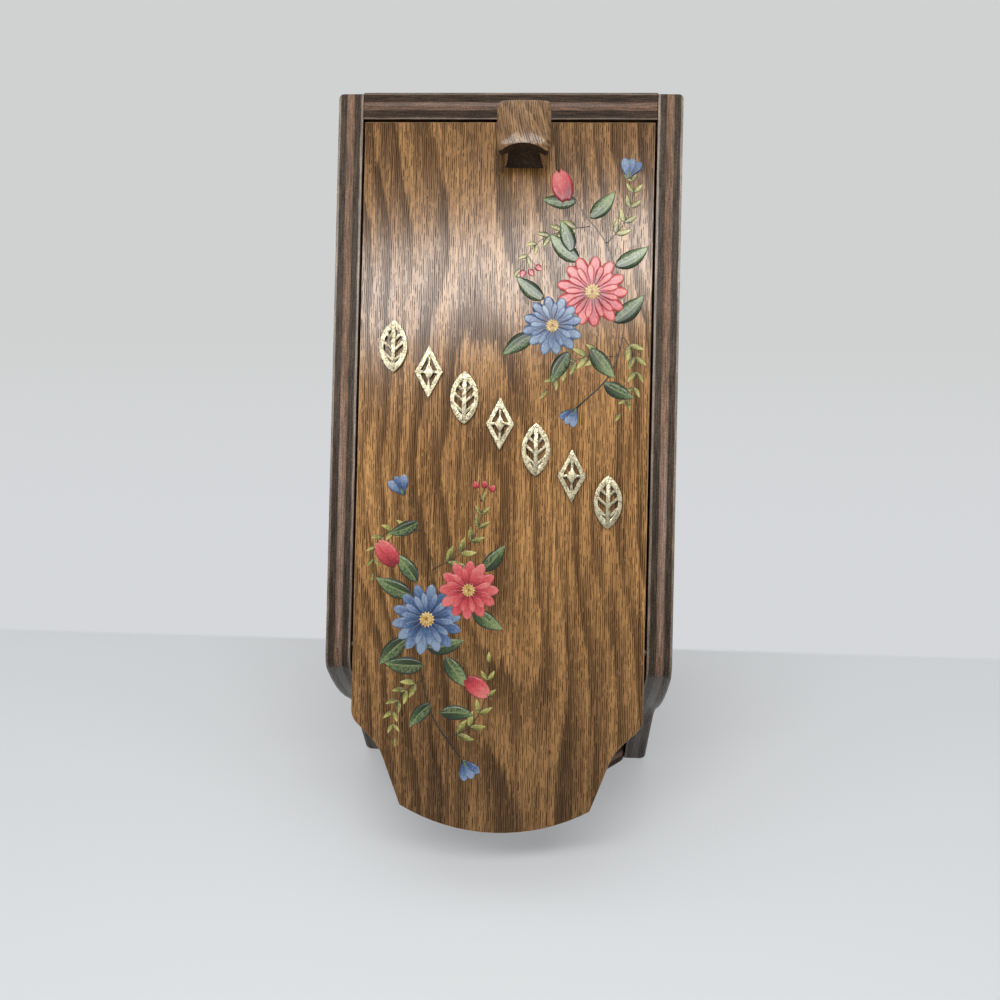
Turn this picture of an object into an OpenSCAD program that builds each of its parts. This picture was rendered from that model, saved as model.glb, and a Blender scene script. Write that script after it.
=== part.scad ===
/* [Case] */
// Outside width of the case
case_w = 160; // [145:1:180]
// Height of the case
case_h = 350; // [335:1:370]
// Thickness of the side, top, shelf and base boards
board_t = 11.5; // [10:0.5:13]
// Depth on the floor, from the front of the feet to the back
foot_depth = 100; // [90:1:120]
// Depth at the top
top_depth = 65.5; // [60:0.5:80]
// Lean of the sloping front from upright, in degrees
lean = 24; // [20:0.5:27]
// Thickness of the back board
back_t = 6; // [4:0.5:8]
// How far the back board lets into each side board
rabbet_w = 5.5; // [4:0.5:7]
// Depth of the wear along the core ply of the front edges
core_wear = 0.35; // [0.2:0.05:0.6]
// Width of the core ply that shows in an edge
core_w = 3.6; // [2.5:0.1:5]
// How far the sides end below the top board
side_drop = 0.6; // [0.4:0.1:1.2]
// Rounding of the outer corner at the top end of a side board
side_end_r = 2.2; // [1:0.1:3]
// Rounding of the inner corner at the top end of a side board
side_joint_r = 1.2; // [0.5:0.1:2]

/* [Feet] */
// Length of the straight front edge of a side, down the slope
straight_len = 267.5; // [255:0.5:280]
// Rounding where the straight edge turns into the belly
nose_r = 10; // [5:0.5:16]
// Swell of the belly curve beyond its chord
belly_swell = 2.8; // [1.5:0.1:5]
// How far the waist stands in front of the foot
waist_reach = 33.5; // [28:0.5:40]
// Height of the waist
waist_h = 58.5; // [52:0.5:66]
// Hollow of the cove under the waist
cove_hollow = 1.2; // [0.5:0.1:2.5]
// How far the flare of the foot reaches forward
flare_reach = 20.5; // [16:0.5:25]
// Height of the flare of the foot
flare_h = 42; // [36:0.5:48]
// How far the shoulder of the base board lies behind the front of the feet
base_setback = 2.3; // [0:0.1:6]
// Rounding of the outer corner under a foot
foot_round_r = 3.6; // [1.5:0.1:4]

/* [Lid] */
// Thickness of the lid
lid_t = 9.5; // [8:0.5:12]
// Gap between the lid and the boards round it
lid_gap = 1.2; // [0.8:0.1:1.6]
// Distance from the top of the case to the shoulders of the lid, down the slope
shoulder_v = 287.5; // [276:0.5:295]
// Rounding of a shoulder
shoulder_r = 9; // [5:0.5:12]
// Turn of a shoulder, in degrees
shoulder_turn = 47; // [40:1:52]
// Straight run after a shoulder
shoulder_run = 7.6; // [5:0.1:10]
// Radius of the scoop beside the tongue
scoop_r = 27; // [22:0.5:34]
// Slant of the flank of the tongue, in degrees
flank_turn = 21; // [15:1:26]
// Length of the tongue from the shoulder to its corners
corner_drop = 43.3; // [38:0.1:48]
// Length of the tongue from the shoulder to its tip
tongue_drop = 54.7; // [52:0.1:60]

/* [Tilt] */
// Distance from the top of the case to the pivot, down the slope
pivot_v = 258; // [250:0.5:261]
// Radius of a pivot pin
pivot_r = 1.6; // [1.2:0.1:2]
// How deep a pivot pin runs into the lid
pivot_grip = 13; // [9:0.5:18]
// Largest opening angle of the lid, in degrees
open_angle = 55; // [45:1:60]
// Height of the shelf top above the pivot
shelf_rise = 1.8; // [1:0.1:3]
// Height of the stop cleat behind the top of the lid
stop_h = 14; // [11:0.5:20]
// Depth of the stop cleat
stop_d = 10; // [7:0.5:14]

/* [Knob] */
// Distance of the knob from the middle of the lid
knob_u = 7.5; // [0:0.5:12]
// Distance from the top of the case to the middle of the knob, down the slope
knob_v = 23.8; // [22:0.1:30]
// Width of the knob head
knob_w = 24; // [20:0.5:28]
// Height of the knob head
knob_h = 23.4; // [19:0.1:25]
// Thickness of the knob head
knob_head_t = 13; // [11:0.5:16]
// Slope of the back of the head, from the neck out to the rim
knob_taper = 4.5; // [2:0.5:6]
// Rounding of the corners of the knob head
knob_corner_r = 2.4; // [1.5:0.1:4]
// Rounding of the back edges of the knob head
knob_back_r = 1.2; // [0.8:0.1:2]
// Rounding of the front edges of the knob head
knob_front_r = 2; // [1:0.1:3]
// Rise of the crown on the knob face
knob_crown = 2.8; // [1:0.1:3.5]
// Depth of the finger hollow under the head
grip_rise = 3.1; // [1.5:0.1:4]
// Width of the finger hollow
grip_w = 20; // [15:0.5:22]
// Length of the knob neck
neck_len = 12; // [9:0.5:15]
// Width of the neck where it meets the head
neck_top_w = 15; // [12:0.5:17]
// Height of the neck where it meets the head
neck_top_h = 17; // [13:0.5:17]
// Width of the neck where it meets the lid
neck_base_w = 19; // [17:0.5:20]
// Height of the neck where it meets the lid
neck_base_h = 22.4; // [18:0.1:23]

/* [Ornaments] */
// Number of brass ornaments
ornament_count = 7; // [5:1:7]
// Height of an ornament
ornament_h = 24.6; // [18:0.2:28]
// Width of an ornament
ornament_w = 13; // [10:0.2:15]
// Thickness of an ornament
ornament_t = 2; // [1.2:0.1:2.6]
// Width of the bars of an ornament
ornament_bar = 1.9; // [1.4:0.1:2.2]
// Sideways step from one ornament to the next
step_u = 16.75; // [15.5:0.05:18]
// Step down from one ornament to the next
step_v = 11.7; // [8:0.1:14]
// Sideways place of the middle ornament
ornament_u = -1.1; // [-4:0.1:4]
// Distance from the top of the case to the middle ornament, down the slope
ornament_v = 153.9; // [130:0.1:175]

/* [Fasteners] */
// Radius of a brad shank
brad_r = 0.7; // [0.5:0.05:0.9]
// Radius of a brad head
brad_head_r = 1.4; // [1.1:0.1:1.8]
// Thickness of a brad head
brad_head_t = 0.8; // [0.5:0.1:1.2]
// Length of a brad through a side board
side_brad_len = 30; // [24:1:36]
// Length of a brad through the back board
back_brad_len = 20; // [15:1:24]
// Distance of the end brads from the ends of a joint
brad_margin = 12; // [9:0.5:16]
// Radius of the knob screw shank
screw_r = 1.7; // [1.4:0.1:2.1]
// Radius of the knob screw head
screw_head_r = 3.4; // [3:0.1:4.2]
// Length of the knob screw
screw_len = 21; // [17:0.5:25]
// Width of the slot in the screw head
slot_w = 0.8; // [0.6:0.1:1.2]

/* [Clearances] */
// Gap between the closed lid and its stop
stop_gap = 0.2; // [0.15:0.05:0.3]
// Gap between the lid and the shelf at the closed and the open end of the tilt
shelf_gap = 0.5; // [0.3:0.05:0.8]
// Gap past the end of a pivot pin in its blind hole
pin_end_gap = 0.3; // [0.2:0.1:0.8]
// Radial clearance of a pivot pin in the lid
pivot_clear = 0.05; // [0.03:0.01:0.08]
// Radial clearance of a fixed pin, brad or screw in its hole
fixed_clear = 0.02; // [0.01:0.01:0.04]

/* [Hidden] */
$fn = 48;

// Cuts run this far past the faces that they open
past = 1;
// Degrees of arc between the points of a curved outline
arc_step = 4;
// The same on small curves
small_arc_step = 10;
// Stains, as seen on each piece
oak_dark = [0.33, 0.26, 0.21];
oak_brown = [0.50, 0.36, 0.23];
oak_light = [0.60, 0.46, 0.31];
oak_raw = [0.55, 0.42, 0.29];
brass = [0.82, 0.75, 0.55];
steel = [0.62, 0.62, 0.64];

// Directions on the sloping front
slope_sin = sin(lean);
slope_cos = cos(lean);

// Width inside the case and of the lid
inner_w = case_w - 2 * board_t;
lid_w = inner_w - 2 * lid_gap;

// Distances down the slope
top_edge_len = board_t / slope_cos;
lid_top_v = top_edge_len + lid_gap;
tip_v = shoulder_v + tongue_drop;

// The origin lies under the middle of the whole object
tip_from_foot = foot_depth - top_depth - tip_v * slope_sin;
y_foot = -(tip_from_foot + foot_depth) / 2;
y_back = y_foot + foot_depth;
y_back_in = y_back - back_t;
y_top = y_back - top_depth;

// A point of the side view: v down the slope, w out from the sloping front
function slope_point(v, w) = [y_top - v * slope_sin - w * slope_cos,
                              case_h - v * slope_cos + w * slope_sin];
// Where the plane that lies w out from the sloping front stands at a height
function slope_y(z, w) = y_top - w * slope_cos
                         - (case_h + w * slope_sin - z) * slope_sin / slope_cos;
// Points along an arc between two angles
function arc(centre, r, a0, a1, step = arc_step) =
    let (n = max(2, ceil(abs(a1 - a0) / step)))
    [for (i = [0 : n]) let (a = a0 + (a1 - a0) * i / n)
        centre + r * [cos(a), sin(a)]];
// An outline from its right half, which ends on the middle line at x = 0
function with_mirror(half) =
    let (last = len(half) - 1)
    concat(half, [for (i = [last - 1 : -1 : 0]) [-half[i].x, half[i].y]]);
// Angle of the line from one point to another, from 0 to 360 degrees
function heading(from, to) =
    let (a = atan2(to.y - from.y, to.x - from.x)) a < 0 ? a + 360 : a;
// Radius of an arc from its chord and its rise
function rise_radius(chord, rise) = (chord * chord / 4 + rise * rise) / (2 * rise);
// Middle of the circle through two points, on the left of the way from p to q
function left_centre(p, q, rise) =
    let (chord = norm(q - p), side = [p.y - q.y, q.x - p.x] / chord)
    (p + q) / 2 + (rise_radius(chord, rise) - rise) * side;

// Corners of the side view
belly_top = slope_point(straight_len, 0);
waist = [y_foot - waist_reach, waist_h];
flare_top = [y_foot - flare_reach, flare_h];

// Belly circle, and the nose circle that touches it and the straight edge
belly_r = rise_radius(norm(waist - belly_top), belly_swell);
belly_c = left_centre(belly_top, waist, belly_swell);
nose_start = slope_point(0, -nose_r) - belly_c;
nose_along = nose_start * [-slope_sin, -slope_cos];
nose_v = -nose_along + sqrt(nose_along * nose_along - nose_start * nose_start
                            + (belly_r - nose_r) * (belly_r - nose_r));
nose_c = slope_point(nose_v, -nose_r);
nose_end = heading(belly_c, nose_c);

// Cove circle, in front of the foot
cove_r = rise_radius(norm(flare_top - waist), cove_hollow);
cove_c = left_centre(flare_top, waist, cove_hollow);

// Outline of a side board, seen from the right
side_h = case_h - side_drop;
side_outline = concat(
    [[y_back, 0], [y_back, side_h], [slope_y(side_h, 0), side_h]],
    arc(nose_c, nose_r, 180 - lean, nose_end),
    arc(belly_c, belly_r, nose_end, heading(belly_c, waist)),
    arc(cove_c, cove_r, heading(cove_c, waist), heading(cove_c, flare_top)),
    [[y_foot, 0]]);

// Outline of a side board, seen from the front: x from its inner face outwards
end_hollow_r = rise_radius(core_w, core_wear);
end_hollow_c = [board_t / 2, side_h - core_wear + end_hollow_r];
end_hollow_half = asin(core_w / 2 / end_hollow_r);
end_outline = concat(
    [[0, 0]],
    arc([board_t - foot_round_r, foot_round_r], foot_round_r, -90, 0, small_arc_step),
    arc([board_t - side_end_r, side_h - side_end_r], side_end_r, 0, 90, small_arc_step),
    arc(end_hollow_c, end_hollow_r, end_hollow_half - 90, -end_hollow_half - 90, small_arc_step),
    arc([side_joint_r, side_h - side_joint_r], side_joint_r, 90, 180, small_arc_step));

// Tongue outline, open at the shoulders: x sideways, y down
function tongue(half_w) =
    let (shoulder = arc([half_w - shoulder_r, 0], shoulder_r, 0, shoulder_turn),
         s = shoulder[len(shoulder) - 1],
         scoop_start = s + shoulder_run * [-sin(shoulder_turn), cos(shoulder_turn)],
         scoop_c = scoop_start + scoop_r * [cos(shoulder_turn), sin(shoulder_turn)],
         scoop = arc(scoop_c, scoop_r, shoulder_turn + 180, flank_turn + 180),
         flank = scoop[len(scoop) - 1],
         corner_x = flank.x - (corner_drop - flank.y) * tan(flank_turn),
         tip_rise = tongue_drop - corner_drop,
         tip_r = rise_radius(2 * corner_x, tip_rise),
         tip_half = asin(corner_x / tip_r))
    with_mirror(concat(shoulder, scoop,
                       arc([0, tongue_drop - tip_r], tip_r, 90 - tip_half, 90)));

// Pivot of the lid in the side view, at the middle of the lid's thickness
pivot = slope_point(pivot_v, -lid_t / 2);
echo(pivot = pivot, y_foot = y_foot, y_back = y_back, y_top = y_top);

// Shelf: its top lies just over the pivot, its front meets the open lid
shelf_top_z = pivot.y + shelf_rise;
shelf_z = shelf_top_z - board_t;
open_lean = open_angle - lean;
shelf_front_top = slope_y(shelf_top_z, -lid_t - shelf_gap);
shelf_front_low = pivot.x + (lid_t / 2 + shelf_gap - (shelf_z - pivot.y) * sin(open_lean))
                  / cos(open_lean);
echo(shelf_z = shelf_z, shelf_front_top = shelf_front_top, shelf_front_low = shelf_front_low);

// Base board
base_shoulder_y = y_foot + base_setback;

// Heights of the side brads, and the ends of their rows
top_brad_z = case_h - board_t / 2;
shelf_brad_z = shelf_z + board_t / 2;
base_brad_z = board_t / 2;
brad_back_y = y_back_in - brad_margin;
top_brad_y = slope_y(top_brad_z, 0) + brad_margin;
shelf_brad_y = shelf_front_low + brad_margin;
base_brad_y = y_foot + brad_margin;
side_brads = 3;
back_brads = 5;
back_brad_x = inner_w / 2 + rabbet_w / 2;

// Places on the sloping front: u to the right, v down from the top, z outwards
module on_front(u, v) {
    p = slope_point(v, 0);
    translate([u, p.x, p.y])
        rotate([90 - lean, 0, 0])
            children();
}

// Extrudes an outline of the side view sideways, centred on the case
module across(width) {
    translate([-width / 2, 0, 0])
        rotate([90, 0, 90])
            linear_extrude(width)
                children();
}

// Brad with its head flush with z = 0 and its point downwards
module brad(length, clear = 0) {
    tip = 3 * brad_r;
    translate([0, 0, -brad_head_t])
        cylinder(h = brad_head_t + (clear > 0 ? past : 0), r = brad_head_r + clear);
    translate([0, 0, tip - length])
        cylinder(h = length - tip - brad_head_t / 2, r = brad_r + clear);
    translate([0, 0, -length - clear])
        cylinder(h = tip + clear, r1 = 0.1, r2 = brad_r + clear);
}

// Row of brads through the outer face of a side board; side is 1 or -1
module side_brad_row(side, y0, z, clear = 0) {
    for (i = [0 : side_brads - 1])
        translate([side * case_w / 2, y0 + (brad_back_y - y0) * i / (side_brads - 1), z])
            rotate([0, side * 90, 0])
                brad(side_brad_len, clear);
}

module side_brad_rows(y0, z, clear = 0) {
    for (side = [-1, 1])
        side_brad_row(side, y0, z, clear);
}

// Brad through the back board, driven forwards
module back_brad(x, z, clear = 0) {
    translate([x, y_back, z])
        rotate([-90, 0, 0])
            brad(back_brad_len, clear);
}

// Brads of the back board: a column into each side, and two into each cross board
module back_brad_set(clear = 0) {
    for (side = [-1, 1]) {
        for (i = [0 : back_brads - 1])
            back_brad(side * back_brad_x,
                      2 * brad_margin + (case_h - 4 * brad_margin) * i / (back_brads - 1), clear);
        for (z = [top_brad_z, shelf_brad_z, base_brad_z])
            back_brad(side * inner_w / 4, z, clear);
    }
}

// Hollow worn along the core ply, from z = 0 downwards in y, over a length
module core_hollow(length) {
    hollow_r = rise_radius(core_w, core_wear);
    translate([0, past, hollow_r - core_wear])
        rotate([90, 0, 0])
            cylinder(h = length + past, r = hollow_r);
    translate([0, -length, hollow_r - core_wear])
        sphere(r = hollow_r);
}

// Side board; side is 1 for the right board and -1 for the left
module side_board(side) {
    mid_x = side * (case_w - board_t) / 2;
    difference() {
        intersection() {
            translate([mid_x, 0, 0])
                across(board_t)
                    polygon(side_outline);
            translate([side * inner_w / 2, y_back + past, 0])
                rotate([90, 0, 0])
                    linear_extrude(2 * case_h)
                        polygon([for (p = end_outline) [side * p.x, p.y]]);
        }
        // Rabbet for the back board
        translate([side * (inner_w / 2 + rabbet_w / 2), y_back_in + back_t, case_h / 2])
            cube([rabbet_w, 2 * back_t, case_h + 2 * past], center = true);
        on_front(mid_x, 0)
            core_hollow(straight_len - nose_r);
        translate([side * (inner_w / 2 - past), pivot.x, pivot.y])
            rotate([0, side * 90, 0])
                cylinder(h = board_t + 2 * past, r = pivot_r + fixed_clear);
        side_brad_row(side, top_brad_y, top_brad_z, fixed_clear);
        side_brad_row(side, shelf_brad_y, shelf_brad_z, fixed_clear);
        side_brad_row(side, base_brad_y, base_brad_z, fixed_clear);
        back_brad_set(fixed_clear);
    }
}

module side_left() {
    color(oak_dark) side_board(-1);
}

module side_right() {
    color(oak_dark) side_board(1);
}

// Top board, with its front edge cut to the slope
module top_board() {
    low_z = case_h - board_t;
    color(oak_dark)
        difference() {
            across(inner_w)
                polygon([[y_top, case_h], [slope_y(low_z, 0), low_z],
                         [y_back_in, low_z], [y_back_in, case_h]]);
            // Worn core ply, which runs from side to side
            on_front(inner_w / 2, top_edge_len / 2)
                rotate([0, 0, -90])
                    core_hollow(inner_w);
            side_brad_rows(top_brad_y, top_brad_z, fixed_clear);
            back_brad_set(fixed_clear);
        }
}

// Back board, let into the side boards
module back_board() {
    color(oak_raw)
        difference() {
            translate([-inner_w / 2 - rabbet_w, y_back_in, 0])
                cube([inner_w + 2 * rabbet_w, back_t, case_h]);
            back_brad_set(fixed_clear);
        }
}

// Shelf that carries the cards, undercut in front for the tail of the lid
module shelf_board() {
    color(oak_raw)
        difference() {
            across(inner_w)
                polygon([[shelf_front_top, shelf_top_z], [shelf_front_low, shelf_z],
                         [y_back_in, shelf_z], [y_back_in, shelf_top_z]]);
            side_brad_rows(shelf_brad_y, shelf_brad_z, fixed_clear);
            back_brad_set(fixed_clear);
        }
}

// Base board, whose front has the outline of the lid's tongue
module base_board() {
    half = inner_w / 2;
    color(oak_dark)
        difference() {
            linear_extrude(board_t)
                polygon(concat([[-half, y_back_in], [half, y_back_in]],
                               [for (p = tongue(half)) [p.x, base_shoulder_y - p.y]]));
            side_brad_rows(base_brad_y, base_brad_z, fixed_clear);
            back_brad_set(fixed_clear);
        }
}

// Cleat under the top board, which the closed lid leans on
module lid_stop() {
    z1 = case_h - board_t;
    z0 = z1 - stop_h;
    w = -lid_t - stop_gap;
    color(oak_raw)
        across(inner_w)
            polygon([[slope_y(z1, w), z1], [slope_y(z0, w), z0],
                     [slope_y(z1, w) + stop_d, z0], [slope_y(z1, w) + stop_d, z1]]);
}

// Pin through a side board into the edge of the lid; side is 1 or -1
module pivot_pin(side) {
    color(steel)
        translate([side * case_w / 2, pivot.x, pivot.y])
            rotate([0, -side * 90, 0])
                cylinder(h = board_t + lid_gap + pivot_grip, r = pivot_r);
}

module pivot_pin_left() {
    pivot_pin(-1);
}

module pivot_pin_right() {
    pivot_pin(1);
}

module brads_top() {
    color(steel) side_brad_rows(top_brad_y, top_brad_z);
}

module brads_shelf() {
    color(steel) side_brad_rows(shelf_brad_y, shelf_brad_z);
}

module brads_base() {
    color(steel) side_brad_rows(base_brad_y, base_brad_z);
}

module brads_back() {
    color(steel) back_brad_set();
}

// Countersunk screw, its head flush with z = 0 and its thread upwards
module screw_shape(clear = 0) {
    head_h = screw_head_r - screw_r;
    translate([0, 0, clear > 0 ? -past : 0])
        cylinder(h = (clear > 0 ? past : 0) + clear + 0.4, r = screw_head_r + clear);
    translate([0, 0, 0.4 + clear])
        cylinder(h = head_h, r1 = screw_head_r + clear, r2 = screw_r + clear);
    cylinder(h = screw_len - screw_r, r = screw_r + clear);
    translate([0, 0, screw_len - screw_r])
        cylinder(h = screw_r + clear, r1 = screw_r + clear, r2 = 0.2);
}

// Lid with its tongue, bored for the pivot pins and the knob screw
module lid_panel() {
    outline = concat([[-lid_w / 2, -lid_top_v], [lid_w / 2, -lid_top_v]],
                     [for (p = tongue(lid_w / 2)) [p.x, -shoulder_v - p.y]]);
    color(oak_brown)
        difference() {
            on_front(0, 0)
                translate([0, 0, -lid_t])
                    linear_extrude(lid_t)
                        polygon(outline);
            for (side = [-1, 1])
                translate([side * (lid_w / 2 + past), pivot.x, pivot.y])
                    rotate([0, -side * 90, 0])
                        cylinder(h = pivot_grip + pin_end_gap + past, r = pivot_r + pivot_clear);
            on_front(knob_u, knob_v)
                translate([0, 0, -lid_t])
                    screw_shape(fixed_clear);
        }
}

// Side view of the knob: x across, y out from the lid
function knob_profile(head_w, top_w, base_w) =
    let (back_r = knob_back_r, front_r = knob_front_r,
         rim_y = neck_len + knob_taper,
         face_y = neck_len + knob_head_t - knob_crown,
         crown_r = rise_radius(head_w - 2 * front_r, knob_crown),
         crown_half = asin((head_w / 2 - front_r) / crown_r))
    with_mirror(concat(
        [[base_w / 2, 0], [top_w / 2, neck_len]],
        arc([head_w / 2 - back_r, rim_y + back_r], back_r, -45, 0, small_arc_step),
        arc([head_w / 2 - front_r, face_y - front_r], front_r, 0, 90 - crown_half,
            small_arc_step),
        arc([0, face_y + knob_crown - crown_r], crown_r, 90 - crown_half, 90, small_arc_step)));

// Extrudes a side view of the knob over more than the knob's size
module knob_slab(head_w, top_w, base_w) {
    rotate([90, 0, 0])
        linear_extrude(2 * knob_w, center = true)
            polygon(knob_profile(head_w, top_w, base_w));
}

// Square knob: the two side views and the rounded face cut each other
module knob() {
    grip_r = rise_radius(grip_w, grip_rise);
    color(oak_light)
        on_front(knob_u, knob_v)
            difference() {
                intersection() {
                    knob_slab(knob_w, neck_top_w, neck_base_w);
                    rotate([0, 0, 90])
                        knob_slab(knob_h, neck_top_h, neck_base_h);
                    linear_extrude(neck_len + knob_head_t)
                        rounded_rect(knob_w, knob_h, knob_corner_r);
                }
                // Finger hollow
                translate([0, grip_rise - knob_h / 2 - grip_r, neck_len])
                    cylinder(h = knob_head_t + past, r = grip_r, $fn = 96);
                translate([0, 0, -lid_t])
                    screw_shape(fixed_clear);
            }
}

module rounded_rect(w, h, r) {
    square([w - 2 * r, h], center = true);
    square([w, h - 2 * r], center = true);
    for (x = [-1, 1], y = [-1, 1])
        translate([x * (w / 2 - r), y * (h / 2 - r)])
            circle(r);
}

module knob_screw() {
    color(steel)
        on_front(knob_u, knob_v)
            translate([0, 0, -lid_t])
                difference() {
                    screw_shape();
                    translate([0, 0, slot_w / 2])
                        cube([2 * screw_head_r + past, slot_w, slot_w], center = true);
                }
}

// Pointed oval that two equal circles share
module pointed_oval(w, h) {
    r = rise_radius(h, w / 2);
    intersection() {
        translate([r - w / 2, 0])
            circle(r, $fn = 96);
        translate([w / 2 - r, 0])
            circle(r, $fn = 96);
    }
}

// Openwork leaf: rim, midrib and three pairs of veins
module leaf_ornament() {
    bar = ornament_bar;
    vein_gap = ornament_h / 5;
    linear_extrude(ornament_t)
        intersection() {
            pointed_oval(ornament_w, ornament_h);
            union() {
                difference() {
                    pointed_oval(ornament_w, ornament_h);
                    pointed_oval(ornament_w - 2 * bar, ornament_h - 4 * bar);
                }
                for (side = [-1, 1], i = [-1.5 : 1 : 0.5])
                    translate([0, i * vein_gap])
                        rotate(side * 45)
                            translate([side > 0 ? 0 : -ornament_w, -bar / 3])
                                square([ornament_w, bar * 2 / 3]);
            }
        }
    // Raised midrib
    translate([-bar / 2, -ornament_h / 2 + bar, 0])
        cube([bar, ornament_h - 2 * bar, ornament_t + bar / 4]);
}

module diamond(w, h) {
    polygon([[w / 2, 0], [0, h / 2], [-w / 2, 0], [0, -h / 2]]);
}

// Openwork lozenge: frame, crossed bars, and a boss in the middle
module lozenge_ornament() {
    bar = ornament_bar;
    slant = norm([ornament_w, ornament_h]);
    linear_extrude(ornament_t) {
        difference() {
            diamond(ornament_w, ornament_h);
            diamond(ornament_w - 2 * bar * slant / ornament_h,
                    ornament_h - 2 * bar * slant / ornament_w);
        }
        square([ornament_w - bar, bar * 2 / 3], center = true);
        square([bar * 2 / 3, ornament_h - bar], center = true);
    }
    linear_extrude(ornament_t + bar / 4)
        diamond(ornament_w / 2.6, ornament_h / 3.2);
}

// Ornament number i of the row that steps down across the lid
module ornament(i) {
    middle = (ornament_count + 1) / 2;
    if (i <= ornament_count)
        color(brass)
            on_front(ornament_u + (i - middle) * step_u, ornament_v + (i - middle) * step_v)
                if (i % 2 == 1)
                    leaf_ornament();
                else
                    lozenge_ornament();
}

side_left();
side_right();
top_board();
back_board();
shelf_board();
base_board();
lid_stop();
pivot_pin_left();
pivot_pin_right();
brads_top();
brads_shelf();
brads_base();
brads_back();
lid_panel();
knob();
knob_screw();
ornament(1);  // brass_ornament_1
ornament(2);  // brass_ornament_2
ornament(3);  // brass_ornament_3
ornament(4);  // brass_ornament_4
ornament(5);  // brass_ornament_5
ornament(6);  // brass_ornament_6
ornament(7);  // brass_ornament_7
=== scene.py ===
"""Looks of an upright recipe card box with a sloping lid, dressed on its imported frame.

Every board of the frame is copied into an eased mesh whose own axes are the board's: X across
the grain, Y along it, and Z through the plies. The oak, the plies and the painted flowers
are then drawn in those axes, so that grain and plies follow each board wherever it points.
"""

import logging
import math
import random
from collections.abc import Callable, Sequence
from dataclasses import dataclass
from enum import Enum

import bmesh
import bpy
from mathutils import Matrix, Quaternion, Vector


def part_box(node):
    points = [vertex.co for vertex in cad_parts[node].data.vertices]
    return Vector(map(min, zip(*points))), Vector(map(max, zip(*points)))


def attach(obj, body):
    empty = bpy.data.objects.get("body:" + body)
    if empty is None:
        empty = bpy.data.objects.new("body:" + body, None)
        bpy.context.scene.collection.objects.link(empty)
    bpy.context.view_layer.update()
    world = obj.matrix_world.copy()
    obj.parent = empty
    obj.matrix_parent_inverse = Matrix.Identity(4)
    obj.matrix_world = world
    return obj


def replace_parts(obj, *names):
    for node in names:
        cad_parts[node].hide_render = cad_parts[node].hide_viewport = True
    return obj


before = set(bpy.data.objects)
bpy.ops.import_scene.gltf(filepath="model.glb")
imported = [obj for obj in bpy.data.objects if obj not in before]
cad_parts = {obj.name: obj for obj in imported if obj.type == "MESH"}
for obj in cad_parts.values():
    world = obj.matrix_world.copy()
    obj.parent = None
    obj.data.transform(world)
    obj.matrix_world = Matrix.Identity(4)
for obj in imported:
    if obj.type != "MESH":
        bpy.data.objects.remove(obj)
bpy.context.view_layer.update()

LOG = logging.getLogger("recipe_box")

MM = 0.001
PORE_DEPTH = 0.03 * MM

# Vertices of a node closer than this are one
WELD = 0.001 * MM

# Driving sizes of the dressed shapes, in metres
LEAN = math.radians(24)
TOP_DEPTH = 65.5 * MM
STRAIGHT_EDGE = 267.5 * MM

Colour = tuple[float, float, float, float]
Socket = bpy.types.NodeSocket
Value = Socket | float | tuple[float, ...]


class Body(Enum):
    """The two bodies of the frame."""

    CASE = "case"
    LID = "lid"


class Slot(Enum):
    """The material slots."""

    CASE = "case_oak"
    INSIDE = "inside_oak"
    LID = "lid_oak"
    KNOB = "knob_oak"
    BRASS = "brass"
    STEEL = "steel"


class Shape(Enum):
    """How the half width of a painted blade runs from its foot to its tip."""

    LEAF = "leaf"
    PETAL = "petal"
    BUD = "bud"
    STEM = "stem"


class Paint(Enum):
    """The colours of the sprays, in the order of their meshes."""

    CORAL = "coral"
    BLUE = "blue"
    LEAF = "leaf"
    SPRIG = "sprig"
    STEM = "stem"
    GOLD = "gold"


def tone(red: int, green: int, blue: int) -> Colour:
    """Turns a display colour into a linear one.

    Args:
        red: Red, from 0 to 255, as green and blue are.
        green: Green.
        blue: Blue.

    Returns:
        The linear colour with an alpha of 1.
    """

    def linear(part: int) -> float:
        """Turns one part of the colour."""
        share = part / 255
        return share / 12.92 if share <= 0.04045 else ((share + 0.055) / 1.055) ** 2.4

    return (linear(red), linear(green), linear(blue), 1.0)


@dataclass(frozen=True)
class FrontPlane:
    """The plane of the sloping front, which the lid's face and the rails lie in."""

    lean: float = LEAN
    top_depth: float = TOP_DEPTH

    @property
    def origin(self) -> Vector:
        """Middle of the front's top edge."""
        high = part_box("back_board")[1]
        return Vector((0.0, high.y - self.top_depth, high.z))

    @property
    def matrix(self) -> Matrix:
        """Local axes: X to the right, Y up the slope, Z out of the face."""
        turn = Matrix.Rotation(math.pi / 2 - self.lean, 4, "X")
        return Matrix.Translation(self.origin) @ turn

    def place(self, u: float, v: float, w: float = 0.0) -> Vector:
        """Gives a point of the front in the row frame.

        Args:
            u: Distance to the right of the middle.
            v: Distance down the slope from the top edge.
            w: Distance out of the face.

        Returns:
            The point, in metres.
        """
        return self.matrix @ Vector((u, -v, w))


FRONT = FrontPlane()


def board_axes(centre: Vector, across: Vector, grain: Vector) -> Matrix:
    """Makes the axes of a board.

    Args:
        centre: Where the axes start, in the middle of the plies.
        across: Direction across the grain, in the board's plane.
        grain: Direction along the grain.

    Returns:
        The matrix from the board's axes to the row frame.
    """
    through = across.cross(grain)
    turn = Matrix((across, grain, through)).transposed().to_4x4()
    return Matrix.Translation(centre) @ turn


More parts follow.
